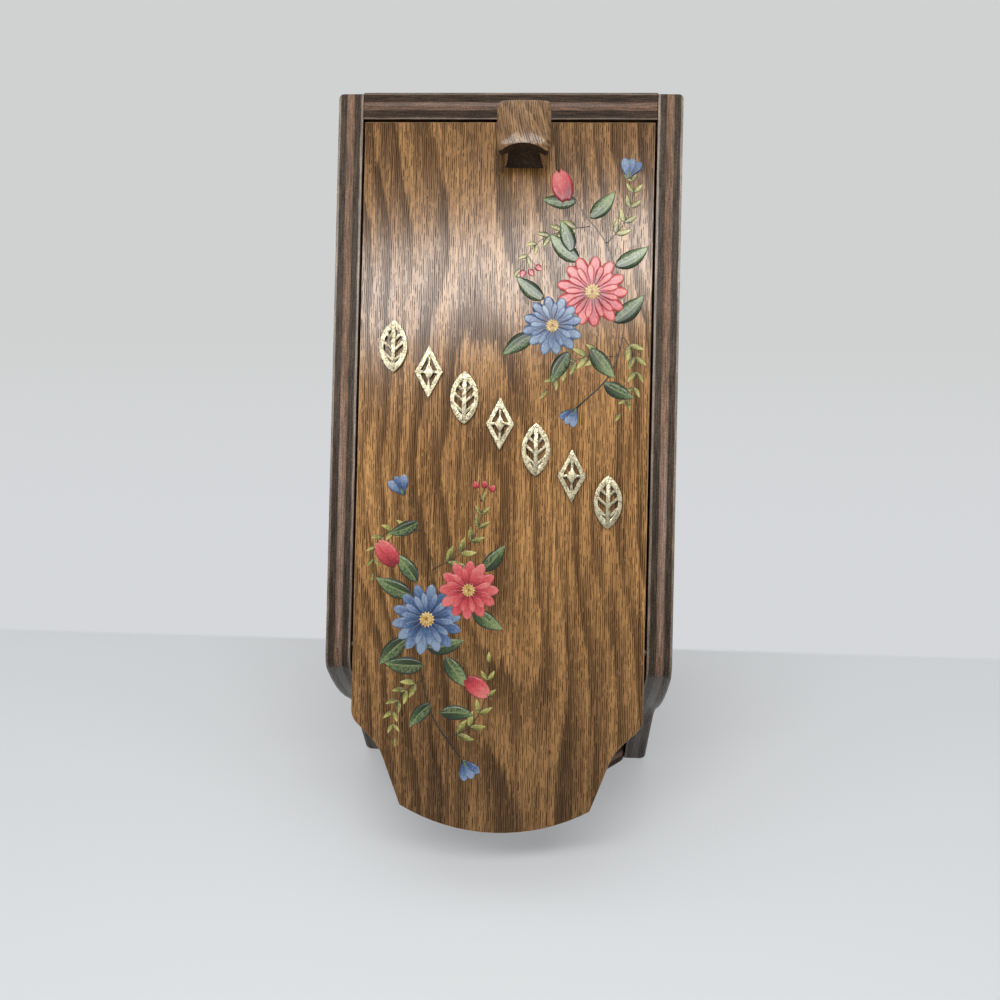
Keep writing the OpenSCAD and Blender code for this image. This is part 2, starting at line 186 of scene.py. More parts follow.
class NodeGraph:
    """A material's node tree, with short calls for the nodes that the finishes use."""

    def __init__(self, name: str, owner: bpy.types.World | None = None) -> None:
        """Starts an empty tree.

        Args:
            name: Name of the new material.
            owner: A world to shade in place of a new material.
        """
        self.material = owner or bpy.data.materials.new(name)
        self.material.use_nodes = True
        self.tree = self.material.node_tree
        self.tree.nodes.clear()

    def add(self, kind: str, sources: Sequence[Value] | dict = (), **settings: object) -> bpy.types.Node:
        """Adds a node, sets its properties and feeds its inputs.

        Args:
            kind: The node's type name.
            sources: What feeds its inputs, in their order or by their numbers or names.
            **settings: Properties of the node, by name.

        Returns:
            The node.
        """
        node = self.tree.nodes.new(kind)
        for key, value in settings.items():
            setattr(node, key, value)
        for key, source in sources.items() if isinstance(sources, dict) else enumerate(sources):
            self.feed(node.inputs[key], source)
        return node

    def feed(self, socket: Socket, source: Value) -> None:
        """Links a socket to another, or sets its value.

        Args:
            socket: The input.
            source: The output that feeds it, or its value.
        """
        if isinstance(source, Socket):
            self.tree.links.new(source, socket)
        else:
            socket.default_value = source

    def math(self, operation: str, *values: Value) -> Socket:
        """Takes one arithmetic step."""
        return self.add("ShaderNodeMath", values, operation=operation).outputs[0]

    def times(self, first: Value, second: Value) -> Socket:
        """Multiplies two values."""
        return self.math("MULTIPLY", first, second)

    def swing(self, noise: Socket, amount: float, base: Value) -> Socket:
        """Adds to a base how far a noise strays from its middle."""
        return self.math("MULTIPLY_ADD", self.math("SUBTRACT", noise, 0.5), amount, base)

    def steps(self, value: Value, low: Value, high: Value, start: Value = 0.0, end: Value = 1.0) -> Socket:
        """Runs smoothly from start to end as value goes from low to high."""
        sources = (value, low, high, start, end)
        return self.add("ShaderNodeMapRange", sources, interpolation_type="SMOOTHSTEP").outputs[0]

    def mix(self, share: Value, first: Value, second: Value, blend: str = "MIX") -> Socket:
        """Mixes two colours."""
        sources = {"Factor": share, 6: first, 7: second}
        return self.add("ShaderNodeMix", sources, data_type="RGBA", blend_type=blend).outputs[2]

    def ramp(self, share: Socket, stops: Sequence[tuple[float, Colour]]) -> Socket:
        """Draws a colour ramp.

        Args:
            share: Place on the ramp.
            stops: Its stops, as places and colours.

        Returns:
            The socket of its colour.
        """
        node = self.add("ShaderNodeValToRGB", (share,))
        elements = node.color_ramp.elements
        while len(elements) < len(stops):
            elements.new(0.5)
        for element, (position, colour) in zip(elements, stops):
            element.position = position
            element.color = colour
        return node.outputs[0]

    def coordinates(self) -> Socket:
        """Gives the object's own coordinates, in metres."""
        return self.add("ShaderNodeTexCoord").outputs["Object"]

    def parts(self, vector: Socket) -> Sequence[Socket]:
        """Splits a vector in three."""
        return self.add("ShaderNodeSeparateXYZ", (vector,)).outputs

    def noise(self, vector: Socket, cycles: tuple[float, float, float] = (1.0, 1.0, 1.0),
              shift: float = 0.0, detail: float = 3.0, roughness: float = 0.5) -> Socket:
        """Draws noise.

        Args:
            vector: Socket of the coordinates.
            cycles: Cycles per metre on each axis.
            shift: Moves this noise away from the others.
            detail: Number of finer layers.
            roughness: Strength of the finer layers.

        Returns:
            The socket of its value, which runs about 0.5.
        """
        moved = (shift, shift * 0.7, shift * 1.3)
        scaled = self.add("ShaderNodeVectorMath", (vector, cycles, moved), operation="MULTIPLY_ADD")
        sources = {"Vector": scaled.outputs[0], "Scale": 1.0, "Detail": detail, "Roughness": roughness}
        return self.add("ShaderNodeTexNoise", sources).outputs[0]

    def grey(self, value: Value) -> Socket:
        """Turns a value into a grey colour."""
        return self.add("ShaderNodeCombineColor", (value, value, value)).outputs[0]

    def bump(self, height: Socket, strength: float, distance: float) -> Socket:
        """Turns a height into a normal."""
        sources = {"Strength": strength, "Distance": distance, "Height": height}
        return self.add("ShaderNodeBump", sources).outputs[0]

    def pored(self, lines: Socket, strength: float) -> Socket:
        """Gives the normal of a surface with its pores sunk in."""
        return self.bump(self.times(lines, -1.0), strength, PORE_DEPTH)

    def seen(self) -> Socket:
        """Gives a socket that is 1 for rays that show the thing itself, in view, gloss or glass."""
        rays = self.add("ShaderNodeLightPath")
        gloss = self.math("MAXIMUM", rays.outputs["Is Glossy Ray"], rays.outputs["Is Transmission Ray"])
        return self.math("MAXIMUM", rays.outputs["Is Camera Ray"], gloss)

    def surface(self, colour: Value, roughness: Value, normal: Socket | None = None,
                **others: Value) -> bpy.types.Material:
        """Ends the tree in a Principled shader.

        Args:
            colour: Base colour, a socket or a colour.
            roughness: Roughness, a socket or a number.
            normal: Normal socket, or None.
            **others: Other inputs by name, with underscores for spaces.

        Returns:
            The material.
        """
        sources = {"Base Color": colour, "Roughness": roughness}
        sources.update((key.replace("_", " "), value) for key, value in others.items())
        if normal is not None:
            sources["Normal"] = normal
        shader = self.add("ShaderNodeBsdfPrincipled", sources)
        self.add("ShaderNodeOutputMaterial", (shader.outputs[0],))
        return self.material


@dataclass(frozen=True)
class Pores:
    """The open pores of oak: fine dark lines along the grain, close together in the bands.

    Args:
        spacing: Distance between the lines.
        length: Length of a line.
        share: Level of the noise over which there is a line; less of it gives more lines.
        softness: Width of a line's blurred ends, on the same scale.
        crowding: How far a porous band lowers that level.
        drift: How far the lines wander sideways.
    """

    spacing: float = 0.88 * MM
    length: float = 6 * MM
    share: float = 0.42
    softness: float = 0.12
    crowding: float = 0.12
    drift: float = 4 * MM

    # Aslant shift through the plies, spread of the columns in the noise, and half widths of a line
    SLANT = 0.7
    SPREAD = 7.31
    CORE, RIM, CROWDED_RIM = 0.1, 0.3, 0.12

    def lines(self, graph: NodeGraph, coordinates: Socket, porous: Value = 0.0) -> Socket:
        """Draws the pores.

        Args:
            graph: The node tree.
            coordinates: Socket of the board's coordinates.
            porous: Socket or number that is 1 in a porous band and 0 in dense wood.

        Returns:
            A socket that is 1 in a pore and 0 beside it.
        """
        x, y, z = graph.parts(coordinates)
        wander = graph.noise(coordinates, (70, 9, 70), 4.8, 5.0, 0.75)
        place = graph.math("MULTIPLY_ADD", wander, self.drift, graph.math("MULTIPLY_ADD", z, self.SLANT, x))
        place = graph.math("DIVIDE", place, self.spacing)
        column = graph.math("FLOOR", place)
        beside = graph.math("ABSOLUTE", graph.math("SUBTRACT", graph.math("FRACT", place), 0.5))
        spot = graph.add("ShaderNodeCombineXYZ", (graph.times(column, self.SPREAD),
                                                  graph.math("DIVIDE", y, self.length)))
        dashes = graph.noise(spot.outputs[0], detail=2.0, roughness=0.6)
        low = graph.math("MULTIPLY_ADD", porous, -self.crowding, self.share)
        high = graph.math("ADD", low, self.softness)
        drawn = graph.steps(dashes, low, high)
        rim = graph.math("MULTIPLY_ADD", porous, self.CROWDED_RIM, self.RIM)
        return graph.times(drawn, graph.steps(beside, self.CORE, rim, 1.0, 0.0))


LID_PORES = Pores()


@dataclass(frozen=True)
class OakFinish:
    """Stained oak veneer with cathedral figure, open pores and varnish.

    Args:
        name: Name of the material.
        light: Colour of the dense wood.
        middle: Colour between the bands.
        dark: Colour of the porous bands.
        pore: Colour of the stain that sits in the pores.
        heart: Place of the figure's middle, across and along the grain.
        ring: Width of a growth ring near the middle of the figure.
        roughness: Roughness of the varnish.
        figure: Strength of the bands, from 0 to 1.
        gloss: Specular level of the varnish.
        open_grain: Strength of the stain in the pores, from 0 to 1.
        pores: The pores.
        foot: Place along the grain where the painted shade is darkest, or None for no painted shade.
        foot_shade: Share of the colour kept there, a painted shade for the light falling off down the board.
        fade: How far along the grain the painted shade reaches from there.
        head_shade: Share of the colour kept at the other end, a painted shade that evens out stronger light.
        head_fade: How far along the grain that painted shade reaches from that end.
    """

    name: str
    light: Colour
    middle: Colour
    dark: Colour
    pore: Colour
    heart: tuple[float, float] = (0.0, 0.0)
    ring: float = 9 * MM
    roughness: float = 0.17
    figure: float = 1.0
    gloss: float = 0.45
    open_grain: float = 0.82
    pores: Pores = LID_PORES
    # Painted shade towards both ends of the board, which only the lid gets
    foot: float | None = None
    foot_shade: float = 0.52
    fade: float = 180 * MM
    head_shade: float = 0.72
    head_fade: float = 150 * MM

    # The heart of the log: its lean across the board, its sideways wander, and the depth and bow under it
    HEART_LEAN = 0.12
    HEART_WANDER = 50 * MM
    HEART_DEPTH = 26 * MM
    BOW = 9 * MM
    BOW_CYCLES = 21.0

    # How far broad and fine noise shift the rings, counted in rings
    UNEVEN, RAGGED = 1.5, 0.55

    # How strongly fine streaks and broad clouds change the tint
    STREAKS, CLOUDS = 3.0, 1.8

    BAND_STAIN = 0.75
    PORE_GLOSS = 0.3

    def porous(self, graph: NodeGraph, coordinates: Socket) -> Socket:
        """Draws the growth rings as the cut leaves them.

        The distance from the bowed heart of the log gives closed islands, with Vs below them
        and arches above the next ones. Each ring starts sharply and fades.

        Args:
            graph: The node tree.
            coordinates: Socket of the board's coordinates.

        Returns:
            A socket that is 1 in the porous start of a ring and 0 in its dense end.
        """
        x, y = graph.parts(coordinates)[:2]
        wander = graph.noise(coordinates, (3, 5, 3), 3.1, 2.0)
        up = graph.math("SUBTRACT", y, self.heart[1])
        across = graph.math("ADD", graph.math("SUBTRACT", x, self.heart[0]), graph.times(up, self.HEART_LEAN))
        across = graph.swing(wander, self.HEART_WANDER, across)
        bow = graph.math("SINE", graph.times(up, self.BOW_CYCLES))
        depth = graph.math("MULTIPLY_ADD", bow, self.BOW, self.HEART_DEPTH)
        distance = graph.math("SQRT", graph.math("MULTIPLY_ADD", depth, depth, graph.times(across, across)))
        rough = graph.noise(coordinates, (34, 4, 34), 0.0, 2.0)
        ragged = graph.noise(coordinates, (800, 22, 800), 7.7, 2.0, 0.6)
        rings = graph.math("DIVIDE", distance, self.ring)
        rings = graph.math("MULTIPLY_ADD", rough, self.UNEVEN, rings)
        rings = graph.math("MULTIPLY_ADD", ragged, self.RAGGED, rings)
        age = graph.math("FRACT", rings)
        fade = graph.steps(age, 0.1, 0.85, 1.0, 0.0)
        start = graph.steps(age, 0.0, 0.12)
        patchy = graph.noise(coordinates, (70, 6, 70), 6.4, 2.0)
        strength = graph.steps(patchy, 0.3, 0.62, 0.35, 1.0)
        return graph.times(graph.times(fade, start), strength)

    def shaded(self, graph: NodeGraph, coordinates: Socket, wood: Socket) -> Socket:
        """Paints shade into the colour towards the foot and the head, standing in for how light falls.

        Args:
            graph: The node tree.
            coordinates: Socket of the board's coordinates.
            wood: Socket of the even colour.

        Returns:
            The socket of the shaded colour.
        """
        if self.foot is None:
            return wood
        y = graph.parts(coordinates)[1]
        # Painted shade, darker towards the foot and towards the head
        shade = graph.steps(y, self.foot, self.foot + self.fade, self.foot_shade, 1.0)
        shade = graph.times(shade, graph.steps(y, -self.head_fade, 0.0, 1.0, self.head_shade))
        return graph.mix(1.0, wood, graph.grey(shade), "MULTIPLY")

    def build(self) -> bpy.types.Material:
        """Makes the material."""
        graph = NodeGraph(self.name)
        coordinates = graph.coordinates()
        porous = graph.times(self.porous(graph, coordinates), self.figure)
        lines = self.pores.lines(graph, coordinates, porous)
        streak = graph.noise(coordinates, (900, 16, 900), 9.4, 3.0, 0.65)
        cloud = graph.noise(coordinates, (60, 7, 60), 5.5)
        tint = graph.swing(streak, self.STREAKS, 0.5)
        tint = graph.swing(cloud, self.CLOUDS, tint)
        wood = graph.ramp(tint, ((0.0, self.light), (1.0, self.middle)))
        wood = graph.mix(graph.times(porous, self.BAND_STAIN), wood, self.dark)
        stain = graph.times(lines, self.open_grain)
        wood = self.shaded(graph, coordinates, graph.mix(stain, wood, self.pore))
        normal = graph.pored(lines, 0.5)
        open_wood = graph.math("MAXIMUM", lines, graph.times(porous, 0.5))
        gloss = graph.steps(open_wood, 0.0, 1.0, self.gloss, self.gloss * self.PORE_GLOSS)
        return graph.surface(wood, self.roughness, normal, Specular_IOR_Level=gloss)


@dataclass(frozen=True)
class PlyFinish:
    """The cut edge of a board: two thin face veneers, two cross plies and a core.

    Args:
        name: Name of the material.
        board: Thickness of the board.
        veneer: Colour of the face veneers.
        cross: Colour of the cross plies, whose end grain took most stain.
        core: Colour of the core.
        plain_below: Place along the grain below which the edge is plain, or None.
        darkening: How far over that place the plies are darker towards the bottom.
        veneer_t: Thickness of a face veneer.
        core_t: Thickness of the core.
        roughness: Roughness of the varnish.
    """

    GLOSS = {"veneer": 0.55, "cross": 0.07, "core": 0.3}
    PLAIN = tone(82, 75, 69)

    # Share of the board's thickness over which one ply runs into the next, on each side
    SOFT = 0.02

    name: str
    board: float
    veneer: Colour
    cross: Colour
    core: Colour
    plain_below: float | None = None
    darkening: float = 120 * MM
    veneer_t: float = 1.0 * MM
    core_t: float = 3.4 * MM
    roughness: float = 0.36

    def layers(self) -> list[tuple[float, str]]:
        """Gives where each ply starts and ends, as shares of the thickness, from face to face."""
        face, core = self.veneer_t / self.board, self.core_t / self.board
        ends = (0.0, face, 0.5 - core / 2, 0.5 + core / 2, 1 - face, 1.0)
        plies = ("veneer", "cross", "core", "cross", "veneer")
        return [(end + side, ply) for i, ply in enumerate(plies)
                for end, side in ((ends[i], self.SOFT if i else 0.0),
                                  (ends[i + 1], -self.SOFT if i < len(plies) - 1 else 0.0))]

    def build(self) -> bpy.types.Material:
        """Makes the material."""
        graph = NodeGraph(self.name)
        coordinates = graph.coordinates()
        y, z = graph.parts(coordinates)[1:]
        wobble = graph.noise(coordinates, (60, 60, 1200), 1.9, 3.0, 0.6)
        depth = graph.swing(wobble, 0.8 * MM, z)
        share = graph.math("MULTIPLY_ADD", depth, 1 / self.board, 0.5)
        layers = self.layers()
        colour = graph.ramp(share, [(place, getattr(self, layer)) for place, layer in layers])
        gloss = graph.ramp(share, [(place, (self.GLOSS[layer],) * 3 + (1.0,)) for place, layer in layers])
        streaks = graph.noise(coordinates, (90, 90, 2400), 4.4, 3.0, 0.65)
        specks = graph.noise(coordinates, (1300, 1300, 2600), 8.1, 2.0, 0.7)
        patches = graph.noise(coordinates, (35, 35, 160), 3.3, 2.0)
        shade = graph.steps(streaks, 0.32, 0.68, 0.45, 1.5)
        shade = graph.times(shade, graph.steps(specks, 0.32, 0.66, 0.6, 1.4))
        shade = graph.times(shade, graph.steps(patches, 0.3, 0.7, 0.85, 1.15))
        if self.plain_below is not None:
            uneven = graph.swing(wobble, 4 * MM, y)
            start = self.plain_below - 3 * MM
            plain = graph.steps(uneven, start, self.plain_below, 1.0, 0.0)
            colour = graph.mix(plain, colour, self.PLAIN)
            # The plies get darker towards the bottom over that reach
            darker_low = graph.steps(y, self.plain_below, self.plain_below + self.darkening, 0.72, 1.0)
            shade = graph.times(shade, graph.math("MAXIMUM", darker_low, plain))
        colour = graph.mix(1.0, colour, graph.grey(shade), "MULTIPLY")
        normal = graph.bump(graph.math("ADD", streaks, specks), 0.5, 0.08 * MM)
        roughness = graph.math("MULTIPLY_ADD", specks, 0.2, self.roughness - 0.1)
        return graph.surface(colour, roughness, normal, Specular_IOR_Level=gloss)


@dataclass(frozen=True)
class MetalFinish:
    """Bare metal, dulled in its hollows.

    Args:
        name: Name of the material.
        clean: Colour of the raised parts.
        dull: Colour of the film in the hollows.
        roughness: Roughness of the raised parts.
        dulled: Share of the surface that is dull, from 0 to 1.
        grain: Width of the marks that the mould or tool left.
        darker_below: Height over the lid under which the walls are darker, or None.
    """

    # Colour that the walls take close to the lid, darker there
    NEAR_LID_TONE = tone(58, 46, 32)

    name: str
    clean: Colour
    dull: Colour
    roughness: float
    dulled: float
    grain: float = 0.8 * MM
    darker_below: float | None = None

    def build(self) -> bpy.types.Material:
        """Makes the material."""
        graph = NodeGraph(self.name)
        coordinates = graph.coordinates()
        cycles = 1 / self.grain
        film = graph.noise(coordinates, (cycles / 3,) * 3, 0.0, 4.0, 0.65)
        marks = graph.noise(coordinates, (cycles,) * 3, 2.7, 3.0, 0.7)
        bare = 0.66 - 0.3 * self.dulled
        share = graph.steps(film, bare, bare + 0.2)
        share = graph.times(share, graph.steps(marks, 0.38, 0.6))
        colour = graph.mix(share, self.clean, self.dull)
        # The walls are darker close to the lid
        if self.darker_below is not None:
            z = graph.parts(coordinates)[2]
            darkening = graph.steps(z, self.darker_below - 0.7 * MM, self.darker_below, 1.0, 0.0)
            colour = graph.mix(darkening, colour, self.NEAR_LID_TONE)
        normal = graph.bump(marks, 0.6, 0.12 * MM)
        roughness = graph.math("MULTIPLY_ADD", share, 0.25, self.roughness)
        return graph.surface(colour, roughness, normal, Metallic=1.0)


@dataclass(frozen=True)
class PaintFinish:
    """Thin varnished paint on the lid, shaded from the foot of each blade to its tip.

    Args:
        deep: Colour at the foot.
        middle: Colour halfway.
        pale: Colour at the tip.
        ribbed: Strength of the midrib and side veins, from 0 to 1.
        split: How much paler one half of a blade is than the other, from 0 to 1.
        outline: Strength of the dark line along the rim, from 0 to 1.
    """

    deep: Colour
    middle: Colour
    pale: Colour
    ribbed: float = 0.0
    split: float = 0.0
    outline: float = 0.45

    def build(self, name: str) -> bpy.types.Material:
        """Makes the material.

        Args:
            name: Its name.

        Returns:
            The material.
        """
        graph = NodeGraph(name)
        coordinates = graph.coordinates()
        place = graph.add("ShaderNodeUVMap", uv_map=BladeMesh.UV_NAME).outputs[0]
        along, across = graph.parts(place)[:2]
        own = graph.add("ShaderNodeAttribute", attribute_name=BladeMesh.TONE_NAME).outputs["Fac"]
        side = graph.math("ABSOLUTE", graph.math("SUBTRACT", across, 0.5))
        brush = graph.noise(coordinates, (900, 900, 900), 0.0, 3.0, 0.65)
        shade = graph.swing(brush, 0.9, along)
        shade = graph.swing(own, 0.5, shade)
        colour = graph.ramp(shade, ((0.08, self.deep), (0.52, self.middle), (0.98, self.pale)))
        slant = graph.math("MULTIPLY_ADD", side, -1.4, along)
        vein = graph.math("ABSOLUTE", graph.math("SINE", graph.times(slant, 20.0)))
        vein = graph.steps(vein, 0.0, 0.35, 1.0, 0.0)
        rib = graph.steps(side, 0.02, 0.07, 1.0, 0.0)
        marked = graph.math("MAXIMUM", graph.times(vein, 0.55), rib)
        half = graph.times(graph.steps(across, 0.46, 0.54), graph.steps(brush, 0.35, 0.6))
        colour = graph.mix(graph.times(half, self.split), colour, self.pale)
        colour = graph.mix(graph.times(marked, self.ribbed), colour, self.pale)
        rim = graph.steps(side, 0.33, 0.47)
        colour = graph.mix(graph.times(rim, self.outline), colour, self.deep)
        lines = LID_PORES.lines(graph, coordinates)
        colour = graph.mix(graph.times(lines, 0.22), colour, self.deep)
        normal = graph.pored(lines, 0.4)
        return graph.surface(colour, 0.2, normal, Specular_IOR_Level=0.4)


PAINTS = {
    Paint.CORAL: PaintFinish(tone(124, 32, 40), tone(184, 66, 72), tone(204, 112, 106)),
    Paint.BLUE: PaintFinish(tone(34, 46, 76), tone(66, 90, 126), tone(126, 142, 164)),
    Paint.LEAF: PaintFinish(tone(26, 36, 24), tone(52, 72, 42), tone(128, 142, 96), 0.6, 0.5, 0.8),
    Paint.SPRIG: PaintFinish(tone(66, 66, 30), tone(126, 124, 60), tone(182, 172, 104), 0.3, 0.6, 0.6),
    Paint.STEM: PaintFinish(tone(46, 36, 22), tone(62, 48, 28), tone(84, 70, 40)),
    Paint.GOLD: PaintFinish(tone(116, 80, 36), tone(178, 140, 74), tone(212, 186, 124)),
}


@dataclass(frozen=True)
class FloorFinish:
    """Plain pale floor that keeps the shadow, and shows as the wall beyond the seam behind the box."""

    name: str = "pale_floor"
    colour: Colour = (0.74, 0.76, 0.773, 1.0)
    low_wall: Colour = tone(213, 215, 218)
    distant: Colour = tone(208, 210, 209)
    evened: Colour = tone(220, 222, 225)
    seam: float = 0.118
    seam_width: float = 0.004
    wall_reach: float = 1.2
    even: float = 0.3

    def build(self) -> bpy.types.Material:
        """Makes the material."""
        graph = NodeGraph(self.name)
        coordinates = graph.coordinates()
        mottle = graph.noise(coordinates, (3, 3, 3), 0.0, 2.0)
        paler = tuple(min(1.0, part * 1.03) for part in self.colour[:3]) + (1.0,)
        material = graph.surface(graph.mix(mottle, self.colour, paler), 0.9)
        near = graph.tree.nodes["Principled BSDF"].outputs[0]
        y = graph.parts(coordinates)[1]
        beyond = graph.steps(y, self.seam, self.seam + self.seam_width, self.even, 1.0)
        share = graph.times(beyond, graph.seen())
        height = graph.steps(y, self.seam, self.wall_reach)
        wall = graph.mix(height, self.low_wall, self.distant)
        onset = graph.steps(y, self.seam, self.seam + self.seam_width)
        glow = graph.add("ShaderNodeEmission", {"Color": graph.mix(onset, self.evened, wall)})
        mix = graph.add("ShaderNodeMixShader", (share, near, glow.outputs[0]))
        graph.feed(graph.tree.nodes["Material Output"].inputs["Surface"], mix.outputs[0])
        return material


class Finishes:
    """Every finish of the box, each built once."""

    WORN = tone(114, 98, 83)
    CROSS = tone(65, 55, 46)
    CORE = tone(114, 87, 69)

    def __init__(self, case_board: float, lid_board: float, back_board: float,
                 straight_end: float, lid_end: float) -> None:
        """Builds the finishes.

        Args:
            case_board: Thickness of the case's boards.
            lid_board: Thickness of the lid.
            back_board: Thickness of the back board.
            straight_end: Height at which the sides' front edges turn away from the slope.
            lid_end: Length of the lid down the slope.
        """
        # The lid's oak has painted shade towards its foot and its head
        self.lid = OakFinish(
            "lid_oak_face", tone(188, 139, 83), tone(120, 82, 41), tone(84, 57, 30), tone(38, 23, 10),
            heart=(-8 * MM, -120 * MM), foot=-lid_end).build()
        self.case_face = OakFinish(
            "case_oak_face", tone(126, 98, 72), tone(100, 76, 54), tone(76, 57, 41), tone(36, 26, 19),
            heart=(20 * MM, 180 * MM), roughness=0.42, gloss=0.35).build()
        self.inside = OakFinish(
            "inside_oak_face", tone(172, 132, 92), tone(146, 108, 72), tone(112, 80, 52), tone(62, 42, 26),
            heart=(10 * MM, 60 * MM), roughness=0.5, figure=0.8, gloss=0.3).build()
        self.knob = OakFinish(
            "knob_oak_face", tone(156, 120, 82), tone(118, 88, 57), tone(80, 58, 38), tone(50, 34, 20),
            heart=(-30 * MM, 20 * MM), ring=6 * MM, roughness=0.24, figure=0.6, gloss=0.4,
            open_grain=0.66, pores=Pores(1.0 * MM, 5 * MM)).build()
        # The knob's downward faces: end grain that took more stain, darker still as painted shade
        self.knob_end_and_shade = OakFinish(
            "knob_end_grain_shaded", tone(66, 52, 40), tone(52, 41, 32), tone(40, 31, 24), tone(26, 20, 16),
            ring=6 * MM, roughness=0.5, pores=Pores(0.9 * MM, 1.5 * MM)).build()
        self.case_edge = PlyFinish(
            "case_plies", case_board, tone(88, 70, 54), tone(54, 42, 33), tone(92, 67, 50),
            veneer_t=0.8 * MM).build()
        self.side_edge = PlyFinish(
            "side_plies", case_board, self.WORN, self.CROSS, self.CORE,
            plain_below=straight_end).build()
        self.lid_edge = PlyFinish(
            "lid_plies", lid_board, tone(150, 120, 88), tone(74, 56, 42), tone(118, 90, 66),
            veneer_t=0.8 * MM, core_t=3 * MM).build()
        self.back_edge = PlyFinish(
            "back_plies", back_board, self.WORN, self.CROSS, self.CORE,
            veneer_t=0.7 * MM, core_t=2 * MM).build()
        self.brass = MetalFinish(
            "cast_brass", tone(178, 170, 144), tone(100, 90, 68), 0.34, 0.95, grain=0.6 * MM,
            darker_below=1.7 * MM).build()
        self.steel = MetalFinish(
            "dull_steel", tone(122, 120, 118), tone(78, 73, 68), 0.55, 0.8).build()
        self.paints = {paint: finish.build(f"{paint.value}_paint") for paint, finish in PAINTS.items()}


def direction(angle: float) -> Vector:
    """Gives the unit vector at an angle in the XY plane, in radians."""
    return Vector((math.cos(angle), math.sin(angle), 0))


def new_object(name: str, mesh: bpy.types.Mesh, matrix: Matrix) -> bpy.types.Object:
    """Links a mesh into the scene as an object at a matrix.

    Args:
        name: Name of the piece.
        mesh: Its mesh, in the piece's own axes.
        matrix: From those axes to the row frame.

    Returns:
        The object.
    """
    made = bpy.data.objects.new(name, mesh)
    bpy.context.scene.collection.objects.link(made)
    made.matrix_world = matrix
    return made


def mount(piece: bpy.types.Object, body: Body) -> bpy.types.Object:
    """Makes a piece ride on a body and logs it.

    Args:
        piece: The object, in place.
        body: The body that it moves with.

    Returns:
        The same object.
    """
    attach(piece, body.value)
    LOG.info("%s rides on %s: %d faces", piece.name, body.value, len(piece.data.polygons))
    return piece


def eased_copy(node: str, axes: Matrix, ease: float, flat: float,
               chosen: Callable[[bmesh.types.BMEdge], bool]) -> bpy.types.Mesh:
    """Copies a node's mesh into a piece's own axes and rounds some of its edges.

    Args:
        node: Name of the node.
        axes: The piece's own axes.
        ease: Width of the rounding.
        flat: Faces that meet at less than this angle are made one before it.
        chosen: Tells which edges are rounded.

    Returns:
        The new mesh, without materials.
    """
    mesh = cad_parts[node].data.copy()
    mesh.transform(axes.inverted())
    solid = bmesh.new()
    solid.from_mesh(mesh)
    bmesh.ops.remove_doubles(solid, verts=solid.verts, dist=WELD)
    bmesh.ops.dissolve_limit(solid, angle_limit=flat, verts=solid.verts, edges=solid.edges)
    edges = [edge for edge in solid.edges if chosen(edge)]
    bmesh.ops.bevel(solid, geom=edges, offset=ease, offset_type="OFFSET", segments=3,
                    profile=0.5, affect="EDGES", clamp_overlap=True)
    solid.to_mesh(mesh)
    solid.free()
    mesh.materials.clear()
    return mesh


@dataclass(frozen=True)
class EasedBoard:
    """A board copied from its node, with eased edges and its plies showing.

    Args:
        node: Name of the node.
        body: Body that it rides on.
        slot: Material slot; not used.
        axes: The board's own axes.
        face: Material of the two faces.
        edge: Material of the cut edges.
        ease: Width of the easing of an edge.
    """

    node: str
    body: Body
    slot: Slot
    axes: Matrix
    face: bpy.types.Material
    edge: bpy.types.Material
    ease: float = 0.6 * MM

    # Edges shorter than this belong to small bores and stay crisp
    SHORTEST = 0.4 * MM
    SHARP = math.radians(35)
    FLAT = math.radians(0.4)
    FACE_SLOPE = 0.97

    # Faces larger than this are the board's flat sides, in square metres
    FLAT_ABOVE = 3e-4

    def build(self) -> bpy.types.Object:
        """Makes the piece, which stands for its node."""
        mesh = eased_copy(self.node, self.axes, self.ease, self.FLAT, self.is_outer)
        mesh.materials.append(self.face)
        mesh.materials.append(self.edge)
        for polygon in mesh.polygons:
            polygon.material_index = 0 if abs(polygon.normal.z) > self.FACE_SLOPE else 1
        mesh.set_sharp_from_angle(angle=self.SHARP)
        for polygon in mesh.polygons:
            polygon.use_smooth = polygon.area < self.FLAT_ABOVE
        piece = new_object(self.node + "_eased", mesh, self.axes)
        mount(piece, self.body)
        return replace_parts(piece, self.node)

    def is_outer(self, edge: bmesh.types.BMEdge) -> bool:
        """Tells a board's long edge from the rim of a small bore."""
        return (edge.is_manifold and edge.is_convex and edge.calc_length() > self.SHORTEST
                and edge.calc_face_angle() > self.SHARP)


